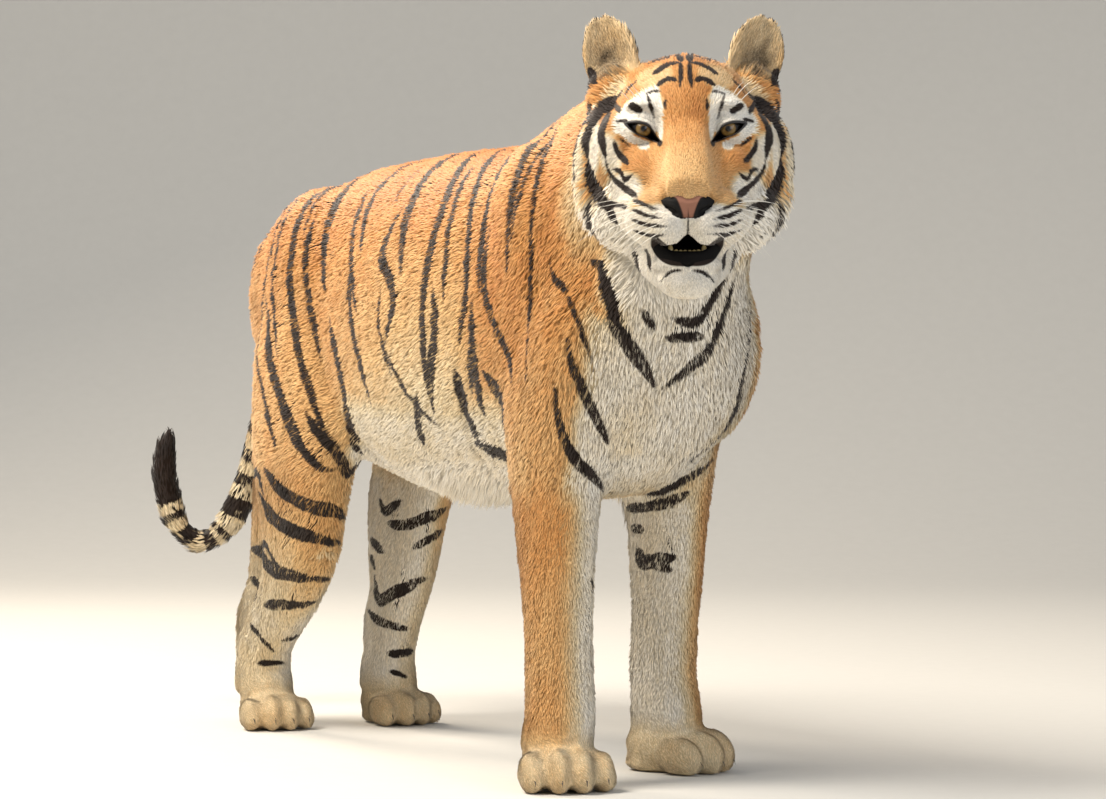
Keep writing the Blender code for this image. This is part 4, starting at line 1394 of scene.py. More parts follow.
    def head_paleness(self, points: Array, normals: Array) -> Array:
        """The ground colour of the head: orange above, white round the eyes, mouth and cheeks."""
        h = self.head.local(points)
        x, y, z = np.abs(h[:, 0]), h[:, 1], h[:, 2]

        def spot(across: float, up: float, wide: float, tall: float, lean: float = 0.0) -> Array:
            """A soft white oval on both halves of the face."""
            u, v = x - across, z - up
            u, v = u * math.cos(lean) + v * math.sin(lean), v * math.cos(lean) - u * math.sin(lean)
            return smooth(1.25, 0.65, np.hypot(u / wide, v / tall)) * (y < 0.10)

        pale = 0.20 + 0.22 * smooth(0.02, -0.07, z) * smooth(0.06, 0.02, x)
        pale = np.maximum(pale, 0.36 * smooth(0.0, -0.09, z))
        brow_top = 0.061 - 11.0 * np.maximum(x - 0.033, 0) ** 2
        inner_edge = 0.031 + 0.005 * smooth(0.040, 0.062, z) + 0.0020 * waves(h, 0.018, 61)
        brow = smooth(0.005, -0.005, z - brow_top) * smooth(-0.004, 0.005, x - inner_edge)
        brow = brow * smooth(-0.012, -0.004, z) * smooth(0.104, 0.096, x)
        rim = self.rimmed(x, z, y)
        under_eye = smooth(-0.0135, -0.0110, rim) * smooth(0.0, -0.0012, rim)
        under_eye = under_eye * (z < 0.004) * smooth(0.047, 0.052, x)
        for white in (
            brow, 0.95 * under_eye, spot(0.0345, 0.010, 0.0050, 0.034), spot(0.058, -0.0260, 0.009, 0.0075),
            0.52 * spot(0.042, 0.072, 0.030, 0.018, -0.35), 0.62 * spot(0.098, 0.052, 0.034, 0.012, -0.9),
            0.88 * spot(0.104, -0.036, 0.017, 0.034, -0.2), 0.9 * spot(0.127, -0.010, 0.010, 0.062),
            0.80 * smooth(0.134, 0.143, x) * smooth(0.05, 0.02, z), 0.95 * spot(0.086, -0.084, 0.030, 0.026),
        ):
            pale = np.maximum(pale, white)
        muzzle = smooth(-0.100, -0.112, z + 0.10 * np.maximum(x - 0.035, 0))
        cheeks = smooth(-0.06, -0.115, z) * smooth(0.055, 0.085, x)
        chin = smooth(-0.120, -0.130, z)
        back = smooth(0.10, 0.13, y)
        pale = np.maximum(pale, 0.97 * np.maximum(muzzle, np.maximum(cheeks * (1 - 0.5 * back), chin)))
        ear = self.anatomy.on_ear(points)
        front = smooth(0.2, -0.3, self.head.local_directions(normals)[:, 1])
        outer = smooth(0.130, 0.150, x + 0.2 * (0.10 - z))
        behind = 0.20 + 0.75 * smooth(0.019, 0.014, np.hypot(x - EAR_SPOT[0], z - EAR_SPOT[1]))
        return pale + ((0.60 - 0.22 * outer) * front + behind * (1 - front) - pale) * ear

    def dark_head(self, points: Array, normals: Array) -> Array:
        """The head's other black places, in metres inside them: lips, eye corners and backs of the ears, with
        painted shade in the hollow of each ear.
        """
        h = self.head.local(points)
        x, y, z = np.abs(h[:, 0]), h[:, 1], h[:, 2]
        face = self.anatomy.on_head(points) > 0.5
        lip = np.minimum(lip_inside(x, z), -0.035 - y)
        seam_height = lip_edges(x)[0] + 0.0012 + 0.35 * np.maximum(x - 0.048, 0)
        seam = np.minimum(0.0022 - np.abs(z - seam_height), np.minimum(0.064 - x, x - 0.018))
        seam = np.minimum(seam, -0.004 - y)
        philtrum = np.minimum(0.0014 - x, np.minimum(z + 0.150, -0.120 - z))
        canthus = 0.0042 - np.hypot((x - 0.0375) * 1.2, (z + 0.0215) * 0.8)
        rim = self.rimmed(x, z, y)
        back = self.head.local_directions(normals)[:, 1]
        spot = 0.014 - np.hypot(x - EAR_SPOT[0], z - EAR_SPOT[1])
        ear = self.anatomy.on_ear(points)
        behind = np.where((ear > 0.5) & (back > 0.1), np.minimum(0.010, -spot), OUTSIDE)
        # Painted shade: the hollow inside each ear is partly darkened, most at its middle.
        hollow = np.hypot((x - 0.108) / 0.034, (z - 0.094) / 0.050)
        shade = -0.0008 + 0.0014 * smooth(1.25, 0.1, hollow) + 0.0003 * waves(h, 0.02, 51)
        behind = np.where((ear > 0.6) & (back < -0.1) & (y > 0.085), shade, behind)
        found = np.full(len(points), OUTSIDE)
        for part in (lip, seam, philtrum, canthus, rim, behind):
            found = np.maximum(found, part)
        return np.where(face, found, OUTSIDE)

    def rimmed(self, x: Array, z: Array, y: Array) -> Array:
        """How far inside the black rim of the eye each point lies."""
        found = np.full(len(x), OUTSIDE)
        near = np.flatnonzero((np.abs(x - 0.060) < 0.036) & (np.abs(z) < 0.034) & (y < 0.05))
        if len(near):
            inside = EyeShape().inside(x[near], z[near])
            above = smooth(-0.002, 0.006, z[near])
            found[near] = inside + 0.0020 + 0.0014 * above
        return found


# The coat


@dataclass(frozen=True)
class Tuft:
    """The coat's typical length on each part and its width, in metres; slender is length over width."""

    trunk: float = 0.0130
    under: float = 0.0135
    leg: float = 0.0098
    paw: float = 0.0075
    tail: float = 0.018
    head: float = 0.0125
    ruff: float = 0.030
    face: float = 0.0080
    ear: float = 0.0085
    slender: float = 6.6
    narrowest: float = 0.00140
    widest: float = 0.0027


class Coat:
    """Short fur in thin solid tufts that lie along the skin."""

    count = 348_000
    quick_count = 90_000
    piece_limit = 48_500
    patch = 0.003
    sink = 0.0009
    clear = 0.0006
    bare_sole = 0.005

    def __init__(self, anatomy: Anatomy, markings: Markings) -> None:
        """Keeps the anatomy and the marked skin that the tufts grow on."""
        self.anatomy = anatomy
        self.head = anatomy.head
        self.markings = markings
        self.tuft = Tuft()
        self.rng = np.random.default_rng(SEED)

    def length(self, points: Array) -> Array:
        """How long the tufts are at each place."""
        tuft, part = self.tuft, self.anatomy
        ruff = part.ruff(points)
        h = self.head.local(points)
        long = self.tuft.ruff - tuft.head
        trunk = tuft.trunk + (tuft.under - tuft.trunk) * part.under(points)
        trunk = trunk - 0.003 * smooth(0.90, 1.0, points[:, 2])
        found = part.mixed(points, trunk, tuft.leg, tuft.paw, tuft.tail, tuft.head + long * ruff,
                           tuft.face + 0.9 * long * ruff, tuft.ear)
        eye = np.hypot(np.abs(h[:, 0]) - EYE_SPACING / 2, h[:, 2])
        facing = (h[:, 1] < 0.06) & (part.on_head(points) > 0.5)
        bridge = smooth(0.040, 0.024, np.abs(h[:, 0])) * smooth(0.02, -0.02, h[:, 2]) * facing
        found = found * (1 - 0.45 * bridge)
        cupped = part.on_ear(points) * smooth(0.120, 0.108, h[:, 1]) * smooth(0.118, 0.100, np.abs(h[:, 0]))
        found = found + 0.016 * cupped
        fringe = self.fringe(points)
        found = found + 0.016 * fringe
        near_eye = np.where(facing, 0.0026 + 0.22 * np.maximum(eye - 0.012, 0), 1.0)
        return np.minimum(found, near_eye)

    def fringe(self, points: Array) -> Array:
        """One along the keel of the belly behind the elbows, where longer hair hangs."""
        x, y, z = points.T
        fringe = smooth(0.47, 0.44, z) * smooth(-0.36, -0.30, y) * smooth(0.06, -0.04, y)
        return fringe * (z > 0.38) * (np.abs(x) < 0.13)

    def bare(self, points: Array) -> Array:
        """Whether nothing grows at a place: eyes, nose, lips, mouth and soles."""
        h = self.head.local(points)
        x, y, z = np.abs(h[:, 0]), h[:, 1], h[:, 2]
        face = self.anatomy.on_head(points) > 0.5
        eye = face & (self.markings.rimmed(x, z, y) > 0.0010)
        nose = face & NosePad().covers(h[:, 0], z) & (y < -0.07)
        lip = face & (lip_inside(x, z) > 0) & (y < -0.035)
        inner = np.where(z > -0.172, -0.098, -0.080)
        mouth = face & (x < 0.030) & (z > -0.200) & (z < -0.140) & (y < 0.02) & (y > inner)
        return eye | nose | lip | mouth | (points[:, 2] < self.bare_sole)

    def roots(self) -> tuple[Array, Array]:
        """Seeded places on the skin, closer together where tufts are small, with its normals."""
        places, normals, faces = self.markings.places, self.markings.normals, self.markings.triangles
        corners = places[faces]
        middles = corners.mean(1)
        square = np.cross(corners[:, 1] - corners[:, 0], corners[:, 2] - corners[:, 0])
        area = np.linalg.norm(square, axis=1) / 2
        length = self.length(middles)
        weight = area / (length * self.width(length))
        weight = weight * np.where(self.bare(middles) & (area < 2e-4), 0.0, 1.0)
        count = self.count
        shares = np.cumsum(weight) / weight.sum()
        picked = np.searchsorted(shares, (np.arange(count) + self.rng.random(count)) / count)
        picked = np.minimum(picked, len(faces) - 1)
        u, v = np.sqrt(self.rng.random(count)), self.rng.random(count)
        share = np.stack([1 - u, u * (1 - v), u * v], 1)[..., None]
        return (places[faces[picked]] * share).sum(1), unit((normals[faces[picked]] * share).sum(1))

    def width(self, length: Array) -> Array:
        """How wide a tuft of some length is where it is widest."""
        tuft = self.tuft
        wide = np.clip(length / tuft.slender, tuft.narrowest, tuft.widest)
        return wide * 1.0

    def regions(self, points: Array) -> Array:
        """The name of the coat piece that each root belongs to."""
        part = self.anatomy
        side = np.where(points[:, 0] > MIDLINE, "_left", "_right")
        y = points[:, 1]
        ahead = [y < -0.42, y < -0.12, y < 0.28]
        trunk = np.select(ahead, ["coat_neck", "coat_shoulder", "coat_flank"], "coat_rump")
        names = np.char.add(trunk, side)
        names = np.where(points[:, 2] < 0.43, np.where(y < 0.1, "coat_forelegs", "coat_hindlegs"), names)
        names = np.where(points[:, 2] < 0.095, np.where(y < 0.1, "coat_forepaws", "coat_hindpaws"), names)
        names = np.where(part.on_tail(points) > 0.5, "coat_tail", names)
        names = np.where(part.on_head(points) > 0.5, "coat_head", names)
        names = np.where(part.on_face(points) > 0.5, "coat_face", names)
        return np.where(part.on_ear(points) > 0.5, "coat_ears", names)

    def unwrapped(self, name: str, points: Array) -> Array:
        """Lays roots out flat on an unwrap of the skin's own shape.

        Args:
            name: the coat piece.
            points: its roots.

        Returns:
            Two numbers from 0 to 1 for each root.
        """
        left = points[:, 0] > MIDLINE
        if name in ("coat_head", "coat_face", "coat_ears"):
            h = self.head.local(points) - np.array([0, 0.06, -0.05])
            turn = np.arctan2(h[:, 2], h[:, 0])
            away = np.arctan2(np.hypot(h[:, 0], h[:, 2]), -h[:, 1]) / math.pi / 2
            flat = np.stack([away * np.cos(turn), away * np.sin(turn)], 1)
        elif name == "coat_tail":
            along, _, centre = self.anatomy.tail.near(points, self.head.shift)
            turn = np.arctan2(points[:, 0] - centre[:, 0], points[:, 1] - centre[:, 1])
            flat = np.stack([turn / 7, along], 1)
        elif "legs" in name or "paws" in name:
            turn = np.zeros(len(points))
            for side in (left, ~left):
                if side.any():
                    middle = np.median(points[side], axis=0)
                    turn[side] = np.arctan2(points[side, 1] - middle[1], points[side, 0] - middle[0])
            flat = np.stack([turn / 14 + 0.5 * left, points[:, 2]], 1)
        else:
            turn = np.arctan2(points[:, 0] - MIDLINE, points[:, 2] - self.anatomy.girth_height)
            flat = np.stack([turn, points[:, 1] * 3], 1)
        low, high = flat.min(0), flat.max(0)
        margin = 2 * self.patch
        return margin + (flat - low) / np.maximum(high - low, 1e-6) * (1 - 2 * margin)

    def build(self, finish: Material) -> list[Thing]:
        """Grows the tufts and makes one piece for each region.

        Args:
            finish: the coat's material.

        Returns:
            The pieces.
        """
        points, normals = self.roots()
        keep = ~self.bare(points)
        points, normals = points[keep], normals[keep]
        corners, soft = self.shaped(points, normals)
        seen = []
        middle = corners[:, 1:3].mean(1)
        for place in (points, middle, (middle + corners[:, 3]) / 2, corners[:, 3]):
            seen.append(np.maximum(self.markings.inked(place), self.markings.dark_head(place, normals)))
        root, widest, beyond, tip = seen
        widest, tip = np.maximum(widest, beyond - 0.0015), np.maximum(tip, beyond - 0.0015)
        ink = np.stack([root, widest, widest, tip], 1)
        pale = self.markings.paleness(points, normals)
        names = self.regions(points)
        made = []
        for name in sorted(set(names)):
            picked = np.flatnonzero(names == name)
            parts = math.ceil(len(picked) / self.piece_limit)
            for part in range(parts):
                chosen = picked[part::parts]
                label = name if parts == 1 else f"{name}_{part + 1}"
                spots = self.unwrapped(name, points[chosen])
                grown = [values[chosen] for values in (corners, soft, ink, pale)]
                made.append(self.piece(label, spots, *grown, finish))
        LOG.info("coat: %d tufts in %d pieces", len(points), len(made))
        return made

    def shaped(self, roots: Array, normals: Array) -> tuple[Array, Array]:
        """Shapes every tuft: a sunk root, two raised corners where it is widest and a tip.

        Args:
            roots: places on the skin.
            normals: the skin's normals there.

        Returns:
            Four corners for each tuft, and the soft normals that shade them.
        """
        count, rng = len(roots), self.rng
        length = self.length(roots) * rng.uniform(0.75, 1.25, count)
        width = self.width(length) * rng.uniform(0.8, 1.2, count)
        lie = self.anatomy.lie(roots, normals)
        hang = (0.7 * self.fringe(roots))[:, None]
        lie = unit(lie * (1 - hang) + np.array([0, 0.35, -1.0]) * hang)
        aside = np.cross(normals, lie)
        turn = rng.normal(0, 0.11, count) + 0.14 * waves(roots, 0.018, 41)
        lie, aside = (lie * np.cos(turn)[:, None] + aside * np.sin(turn)[:, None],
                      aside * np.cos(turn)[:, None] - lie * np.sin(turn)[:, None])
        depth = self.anatomy.coat_depth(roots)
        lift = (depth * rng.uniform(0.40, 0.9, count) * (1 + 0.25 * waves(roots, 0.03, 42)))[:, None]
        along, across = lie * length[:, None], aside * width[:, None] / 2
        base = roots - along * 0.12 - normals * self.sink
        widest = roots + along * 0.38 + normals * (0.62 * lift + width[:, None] * 0.10)
        tip = roots + along * 0.86 + normals * lift
        corners = np.stack([base, widest - across, widest + across, tip], 1)
        corners[..., 2] = np.maximum(corners[..., 2], self.clear)
        soft = np.stack([normals, normals - 0.5 * aside, normals + 0.5 * aside, normals + 0.25 * lie], 1)
        return corners, unit(soft)

    def piece(self, label: str, spots: Array, corners: Array, soft: Array, ink: Array, pale: Array,
              finish: Material) -> Thing:
        """Makes one coat piece of closed, four-faced tufts.

        Args:
            label: the piece's name.
            spots: each root's place on the unwrap.
            corners: four corners for each tuft.
            soft: the normals that shade them.
            ink: how far inside a stripe each corner lies.
            pale: each tuft's ground colour.
            finish: the coat's material.

        Returns:
            The piece.
        """
        count = len(corners)
        faces = np.array([[0, 1, 2], [1, 3, 2], [0, 2, 3], [0, 3, 1]])
        order = (faces[None] + 4 * np.arange(count)[:, None, None]).reshape(-1)
        mesh = bpy.data.meshes.new(label)
        mesh.vertices.add(4 * count)
        mesh.vertices.foreach_set("co", corners.astype(np.float32).ravel())
        mesh.loops.add(12 * count)
        mesh.loops.foreach_set("vertex_index", order.astype(np.int32))
        mesh.polygons.add(4 * count)
        mesh.polygons.foreach_set("loop_start", np.arange(0, 12 * count, 3, dtype=np.int32))
        mesh.polygons.foreach_set("use_smooth", np.ones(4 * count, bool))
        mesh.update(calc_edges=True)
        fan = np.array([[0, -0.5], [-0.5, 0], [0.5, 0], [0, 0.5]]) * self.patch
        spread = (spots[:, None] + fan[None]).reshape(-1, 2)[order]
        layer = mesh.uv_layers.new(name="OFBake")
        layer.data.foreach_set("uv", spread.astype(np.float32).ravel())
        mesh.normals_split_custom_set_from_vertices(soft.reshape(-1, 3).tolist())
        piece = bpy.data.objects.new(label, mesh)
        bpy.context.scene.collection.objects.link(piece)
        bright = 1 + 0.09 * self.rng.normal(0, 1, count)
        # Painted shade: each tuft darkens towards its root and brightens to its tip, times a random tone of
        # its own.
        painted_shade_and_tone = bright[:, None] * np.array([0.74, 0.97, 0.97, 1.08])[None]
        attribute(piece, "ink", ink.ravel())
        attribute(piece, "pale", np.repeat(pale + self.rng.normal(0, 0.025, count), 4))
        attribute(piece, "painted_shade_and_tone", painted_shade_and_tone.ravel())
        mesh.materials.append(finish)
        return piece


# Finishes


@dataclass(frozen=True)
class Fur:
    """Tiger's fur: warm orange guard hairs paling to white, with nearly black stripes."""

    deep: str = "#b96f36"
    orange: str = "#ca8f50"
    tan: str = "#dab37c"
    cream: str = "#e0cda8"
    white: str = "#efe9dc"
    black: str = "#17110e"
    brown: str = "#2c1c12"

    def colour(self, tree: NodeTree) -> Socket:
        """The marked colour from the ink and pale attributes, with hair-fine variation, times a brightness
        attribute that holds painted shade and a random tone.
        """
        place = node(tree, "TexCoord").outputs["Object"]
        fine = node(tree, "TexNoise", {"Vector": place}, Scale=420.0, Detail=2.0).outputs["Fac"]
        broad = node(tree, "TexNoise", {"Vector": place}, Scale=38.0, Detail=3.0).outputs["Fac"]
        pale = node(tree, "Attribute", attribute_name="pale").outputs["Fac"]
        ink = node(tree, "Attribute", attribute_name="ink").outputs["Fac"]
        painted_shade_and_tone = node(tree, "Attribute", attribute_name="painted_shade_and_tone").outputs["Fac"]
        drift = node(tree, "MapRange", {"Value": broad}, To_Min=-0.05, To_Max=0.05).outputs[0]
        ground = node(tree, "Math", {0: pale, 1: drift}, operation="ADD").outputs[0]
        ramp = node(tree, "ValToRGB", {"Fac": ground})
        stops = ramp.color_ramp.elements
        stops[0].color, stops[1].color = linear(self.deep), linear(self.white)
        for place_on, shade in ((0.22, self.orange), (0.48, self.tan), (0.74, self.cream)):
            stops.new(place_on).color = linear(shade)
        wobble = node(tree, "MapRange", {"Value": fine}, To_Min=-0.0007, To_Max=0.0007).outputs[0]
        edge = node(tree, "Math", {0: ink, 1: wobble}, operation="ADD").outputs[0]
        inked = node(tree, "MapRange", {"Value": edge}, From_Min=-0.0008, From_Max=0.0012).outputs[0]
        shades = {0: broad, 6: linear(self.black), 7: linear(self.brown)}
        dark = node(tree, "Mix", shades, data_type="RGBA").outputs[2]
        marked = node(tree, "Mix", {0: inked, 6: ramp.outputs["Color"], 7: dark}, data_type="RGBA").outputs[2]
        # The brightness attribute holds painted shade along the tufts and under the coat, and a random tone.
        return node(tree, "HueSaturation", {"Color": marked, "Value": painted_shade_and_tone}).outputs["Color"]

    def coat(self) -> Material:
        """Guard hairs: dry, with a soft sheen along each tuft."""
        made, tree, shader = blank("tiger_guard_hair")
        feed(tree, shader, {
            "Base Color": self.colour(tree), "Roughness": 0.62, "Specular IOR Level": 0.28,
            "Sheen Weight": 0.12, "Sheen Roughness": 0.5,
        })
        return made

    def skin(self) -> Material:
        """Close underfur over the hide, darkened as painted shade under the coat, with its bump where it lies
        flat; lips and gums bare, and the mouth's inside dark gum painted near black with shade.
        """
        made, tree, shader = blank("tiger_underfur")
        wet = node(tree, "Attribute", attribute_name="gum_and_mouth_shade").outputs["Fac"]
        # Inside the mouth: dark gum, painted near black as the shade in the open mouth.
        bare = {0: wet, 6: self.colour(tree), 7: linear("#1f1210")}
        colour = node(tree, "Mix", bare, data_type="RGBA").outputs[2]
        place = node(tree, "TexCoord").outputs["Object"]
        hairs = node(tree, "TexNoise", {"Vector": place}, Scale=520.0, Detail=3.0).outputs["Fac"]
        raised = node(tree, "Bump", {"Height": hairs}, Strength=0.6, Distance=0.0012)
        rough = node(tree, "MapRange", {"Value": wet}, To_Min=0.78, To_Max=0.35).outputs[0]
        feed(tree, shader, {
            "Base Color": colour, "Normal": raised.outputs["Normal"], "Roughness": rough,
            "Specular IOR Level": 0.25,
        })
        return made


@dataclass(frozen=True)
class Finish:
    """Two colours mottled at a real scale, or mixed by an attribute, with a fine bump."""

    name: str
    first: str
    second: str
    roughness: float
    grain: float
    raised: float
    coat: float = 0.0
    share: str = ""
    specular: float = 0.5

    def make(self) -> Material:
        """Builds the material's nodes; share names an attribute that mixes the colours instead of noise."""
        made, tree, shader = blank(self.name)
        place = node(tree, "TexCoord").outputs["Object"]
        noise = node(tree, "TexNoise", {"Vector": place}, Scale=1 / self.grain, Detail=4.0).outputs["Fac"]
        share = node(tree, "Attribute", attribute_name=self.share).outputs["Fac"] if self.share else noise
        colours = {0: share, 6: linear(self.first), 7: linear(self.second)}
        mixed = node(tree, "Mix", colours, data_type="RGBA").outputs[2]
        bumped = node(tree, "Bump", {"Height": noise}, Strength=0.5, Distance=self.raised)
        feed(tree, shader, {
            "Base Color": mixed, "Normal": bumped.outputs["Normal"], "Roughness": self.roughness,
            "Coat Weight": self.coat, "Coat Roughness": 0.08, "Specular IOR Level": self.specular,
        })
        return made


# Moist black rim of the lids: hairless skin with pores about a millimetre across
LID = Finish("moist_lid_skin", "#0d0a09", "#1c1513", 0.50, 0.0012, 0.0002, 0.15)
# Nose leather: pink-brown pebbled skin, black in the nostril wings, painted black as shade in the nostril
# pits
NOSE = Finish("nose_leather", "#0b0908", "#8a604e", 0.72, 0.0016, 0.0006, 0.0, "pink", 0.22)
# Lip: bare black skin, nearly matt
LIP = Finish("lip_skin", "#040303", "#0a0706", 0.80, 0.0020, 0.0006, specular=0.15)
# Tooth: worn ivory enamel, stained in patches
TOOTH = Finish("tooth_enamel", "#d9c68f", "#b79a5d", 0.30, 0.0040, 0.0001, 0.3)
# Claw: dark brown horn, smooth
CLAW = Finish("claw_horn", "#2a221d", "#6b5a48", 0.35, 0.0060, 0.0001, 0.2)
# Whisker: stiff white hair
WHISKER = Finish("whisker_hair", "#f4f0e6", "#d8d2c4", 0.40, 0.0080, 0.0001)
# Studio paper: matt, pale and even
PAPER = Finish("studio_paper", "#cfcdc7", "#cac8c2", 0.90, 0.0300, 0.0001)


class Iris:
    """The eye's finish: round pupil, amber iris with radial fibres, dark rim, wet cornea."""

    def make(self) -> Material:
        """Builds it on each vertex's distance from the eye's axis and angle round it."""
        made, tree, shader = blank("amber_eye")
        out = node(tree, "Attribute", attribute_name="out").outputs["Fac"]
        turn = node(tree, "Attribute", attribute_name="turn").outputs["Fac"]
        spread = node(tree, "CombineXYZ", {"X": turn, "Y": out}).outputs[0]
        scaled = node(tree, "Mapping", {"Vector": spread}, Scale=(14.0, 160.0, 1.0)).outputs[0]
        fibres = node(tree, "TexNoise", {"Vector": scaled}, Scale=1.0, Detail=3.0).outputs["Fac"]
        shift = node(tree, "MapRange", {"Value": fibres}, To_Min=-0.0009, To_Max=0.0009).outputs[0]
        moved = node(tree, "Math", {0: out, 1: shift}, operation="ADD").outputs[0]
        share = node(tree, "MapRange", {"Value": moved}, From_Min=0.0, From_Max=0.0125).outputs[0]
        ramp = node(tree, "ValToRGB", {"Fac": share})
        stops = ramp.color_ramp.elements
        stops[0].color, stops[1].color = linear("#030202"), linear("#0c0806")
        for place_on, shade in ((0.250, "#020202"), (0.285, "#35260f"), (0.42, "#6c5228"), (0.66, "#7c6232"),
                                (0.80, "#6d5328"), (0.90, "#1a110a")):
            stops.new(place_on).color = linear(shade)
        feed(tree, shader, {
            "Base Color": ramp.outputs["Color"], "Roughness": 0.45, "Specular IOR Level": 0.15,
            "Coat Weight": 0.7, "Coat Roughness": 0.02,
        })
        return made


# The bare parts of the head


class Eyes:
    """Two moist eyeballs, each with its black lid rims."""

    gaze_in = 0.06
    cornea = 0.0022
    iris = 0.0100

    def __init__(self, head: HeadFrame) -> None:
        """Keeps the head's frame."""
        self.head = head
        self.shape = EyeShape()

    def ball(self, side: int, name: str, finish: Material) -> Thing:
        """One eyeball with a bulging cornea, in rings about its gaze."""
        low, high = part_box(name)
        centre = np.array((low + high) / 2)
        gaze = unit(self.head.turned([[-side * self.gaze_in, -1, -0.02]]))[0]
        bpy.ops.mesh.primitive_uv_sphere_add(segments=64, ring_count=48, radius=1.0)
        obj = alone(bpy.context.active_object)
        obj.name = obj.data.name = name + "_ball"
        flat = coordinates(obj)
        out = np.hypot(flat[:, 0], flat[:, 1]) * EYEBALL_RADIUS
        front = flat[:, 2] > 0
        swell = np.where(front, self.cornea * smooth(self.iris * 1.15, 0.0, out), 0)
        turn = Vector((0, 0, 1)).rotation_difference(Vector(gaze)).to_matrix()
        reshape(obj, centre + (flat * (EYEBALL_RADIUS + swell)[:, None]) @ np.array(turn).T)
        attribute(obj, "out", np.where(front, out, 0.02))
        attribute(obj, "turn", np.abs(np.arctan2(flat[:, 1], flat[:, 0])))
        return dressed(obj, finish)

    def rim(self, side: int, name: str, finish: Material) -> Thing:
        """The thick dark margin of both lids, one closed ring."""
        ring = self.shape.outline(44)
        obj, share, along = sheet_of(10, len(ring), name)
        place = np.minimum((along * len(ring)).round().astype(int), len(ring)) % len(ring)
        off = np.hypot(ring[:, 0] - EYE_SPACING / 2, ring[:, 1])
        depth = self.shape.depth(off)
        tangent = unit(np.roll(ring, -1, 0) - np.roll(ring, 1, 0))
        outward = np.stack([tangent[:, 1], -tangent[:, 0]], 1)
        middle = ring.mean(0)
        outward = outward * np.sign(((ring - middle) * outward).sum(1))[:, None]
        thick = 0.0009 + 0.0008 * smooth(-0.004, 0.006, ring[:, 1])
        angle = share * 2 * math.pi
        radius = thick[place]
        flat = ring[place] + outward[place] * (radius * (0.35 + np.cos(angle)))[:, None]
        y = depth[place] + 0.0006 + 0.9 * radius * np.sin(angle)
        reshape(obj, self.head.place(np.stack([side * flat[:, 0], y, flat[:, 1]], 1)))
        closed(obj)
        return dressed(obj, finish)

    def build(self) -> list[Thing]:
        """Both eyes and their rims."""
        iris, lid = Iris().make(), LID.make()
        made = []
        for word, side in SIDES.items():
            ball = self.ball(side, f"eye_{word}", iris)
            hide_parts(f"eye_{word}")
            rim = self.rim(side, f"lid_rim_{word}", lid)
            made += [ball, rim]
        return made


@dataclass(frozen=True)
class NosePad:
    """The bare nose leather, in the head's frame: a broad wedge over the lip's cleft."""

    half_width: float = 0.0378
    top: float = -0.0985
    point: float = -0.1290
    proud: float = 0.0035
    nostril: tuple[float, float] = (0.0225, -0.1165)

    def upper(self, share: Array) -> Array:
        """The height of the top edge, dipped in the middle, at a share across from -1 to 1."""
        off = np.abs(share)
        edge = self.top + 0.0022 * bump(off, 0.45, 0.45) - 0.0010 * bump(off, 0, 0.25)
        return edge - 0.004 * smooth(0.75, 1.0, off)

    def lower(self, share: Array) -> Array:
        """The height of the bottom edge."""
        return self.point + (self.top - 0.0050 - self.point) * np.abs(share) ** 3.0

    def covers(self, across: Array, up: Array) -> Array:
        """Whether a place seen from the front lies on the pad."""
        share = np.clip(across / self.half_width, -1, 1)
        level = (up < self.upper(share) + 0.001) & (up > self.lower(share) - 0.001)
        return level & (np.abs(across) < self.half_width)

    def build(self, head: HeadFrame, tree: BVHTree) -> Thing:
        """Bends a grid over the muzzle's end and gives it its thickness.

        Args:
            head: the head's frame.
            tree: the skin.

        Returns:
            The nose pad.
        """
        obj, u, v = sheet_of(56, 30, "nose_pad")
        share = u * 2 - 1
        across = self.half_width * share
        up = self.lower(share) + (self.upper(share) - self.lower(share)) * v
        columns = np.linspace(-1, 1, 57)
        rims = []
        for edge in (self.lower(columns), self.upper(columns)):
            row = front_of(head, tree, columns * self.half_width * 0.97, edge)
            for _ in range(30):
                row[1:-1] = (row[:-2] + 2 * row[1:-1] + row[2:]) / 4
            rims.append(np.interp(share, columns, (row + row[::-1]) / 2))
        depth = rims[0] + (rims[1] - rims[0]) * v
        edge = smooth(0, 0.30, 1 - np.abs(share)) * smooth(0, 0.25, v) * smooth(0, 0.30, 1 - v)
        pit_x, pit_z = self.nostril
        beside = np.abs(across) - pit_x
        pit = smooth(1.15, 0.5, np.hypot(beside / 0.0100, (up - pit_z - 0.5 * beside) / 0.0052))
        slot = smooth(0.0022, 0.0008, np.abs(up - self.lower(share) - 0.0035))
        slot = slot * smooth(0.25, 0.5, np.abs(share))
        crease = smooth(0.0016, 0.0, np.abs(across)) * smooth(0.6, 0.1, v)
        y = depth - self.proud * edge + 0.0075 * pit + 0.0020 * slot * edge + 0.0012 * crease
        reshape(obj, head.place(np.stack([across, y, up], 1)))
        wing = smooth(-0.0010, 0.0015, np.abs(across) - 0.006 - 0.012 * v**1.5 - 0.006 * smooth(0.86, 1.0, v))
        # The nostril pits are painted black as the shade in the holes; the wings are black skin.
        pink = (1 - np.maximum(0.9 * pit, np.maximum(wing, 0.85 * crease))) * smooth(0.0, 0.15, v)
        attribute(obj, "pink", pink)
        applied(obj, "SOLIDIFY", thickness=0.008, offset=-1.0)
        edit(obj, lambda: bpy.ops.mesh.normals_make_consistent(inside=False))
        dressed(obj, NOSE.make())
        return obj


def front_of(head: HeadFrame, tree: BVHTree, across: Array, up: Array) -> Array:
    """How far back the skin lies, seen from straight ahead of the face.

    Args:
        head: the head's frame.
        tree: the skin.
        across: distances to the animal's left.
        up: heights above the eyes.

    Returns:
        The skin's depth in the head's frame at each place.
    """
    starts = head.place(np.stack([across, np.full(len(across), -0.4), up], 1))
    ahead = Vector(head.turned([[0, 1, 0]])[0])
    found = []
    for start in starts:
        place = tree.ray_cast(Vector(start), ahead, 0.8)[0]
        found.append(0.0 if place is None else head.local([tuple(place)])[0, 1])
    return np.array(found)


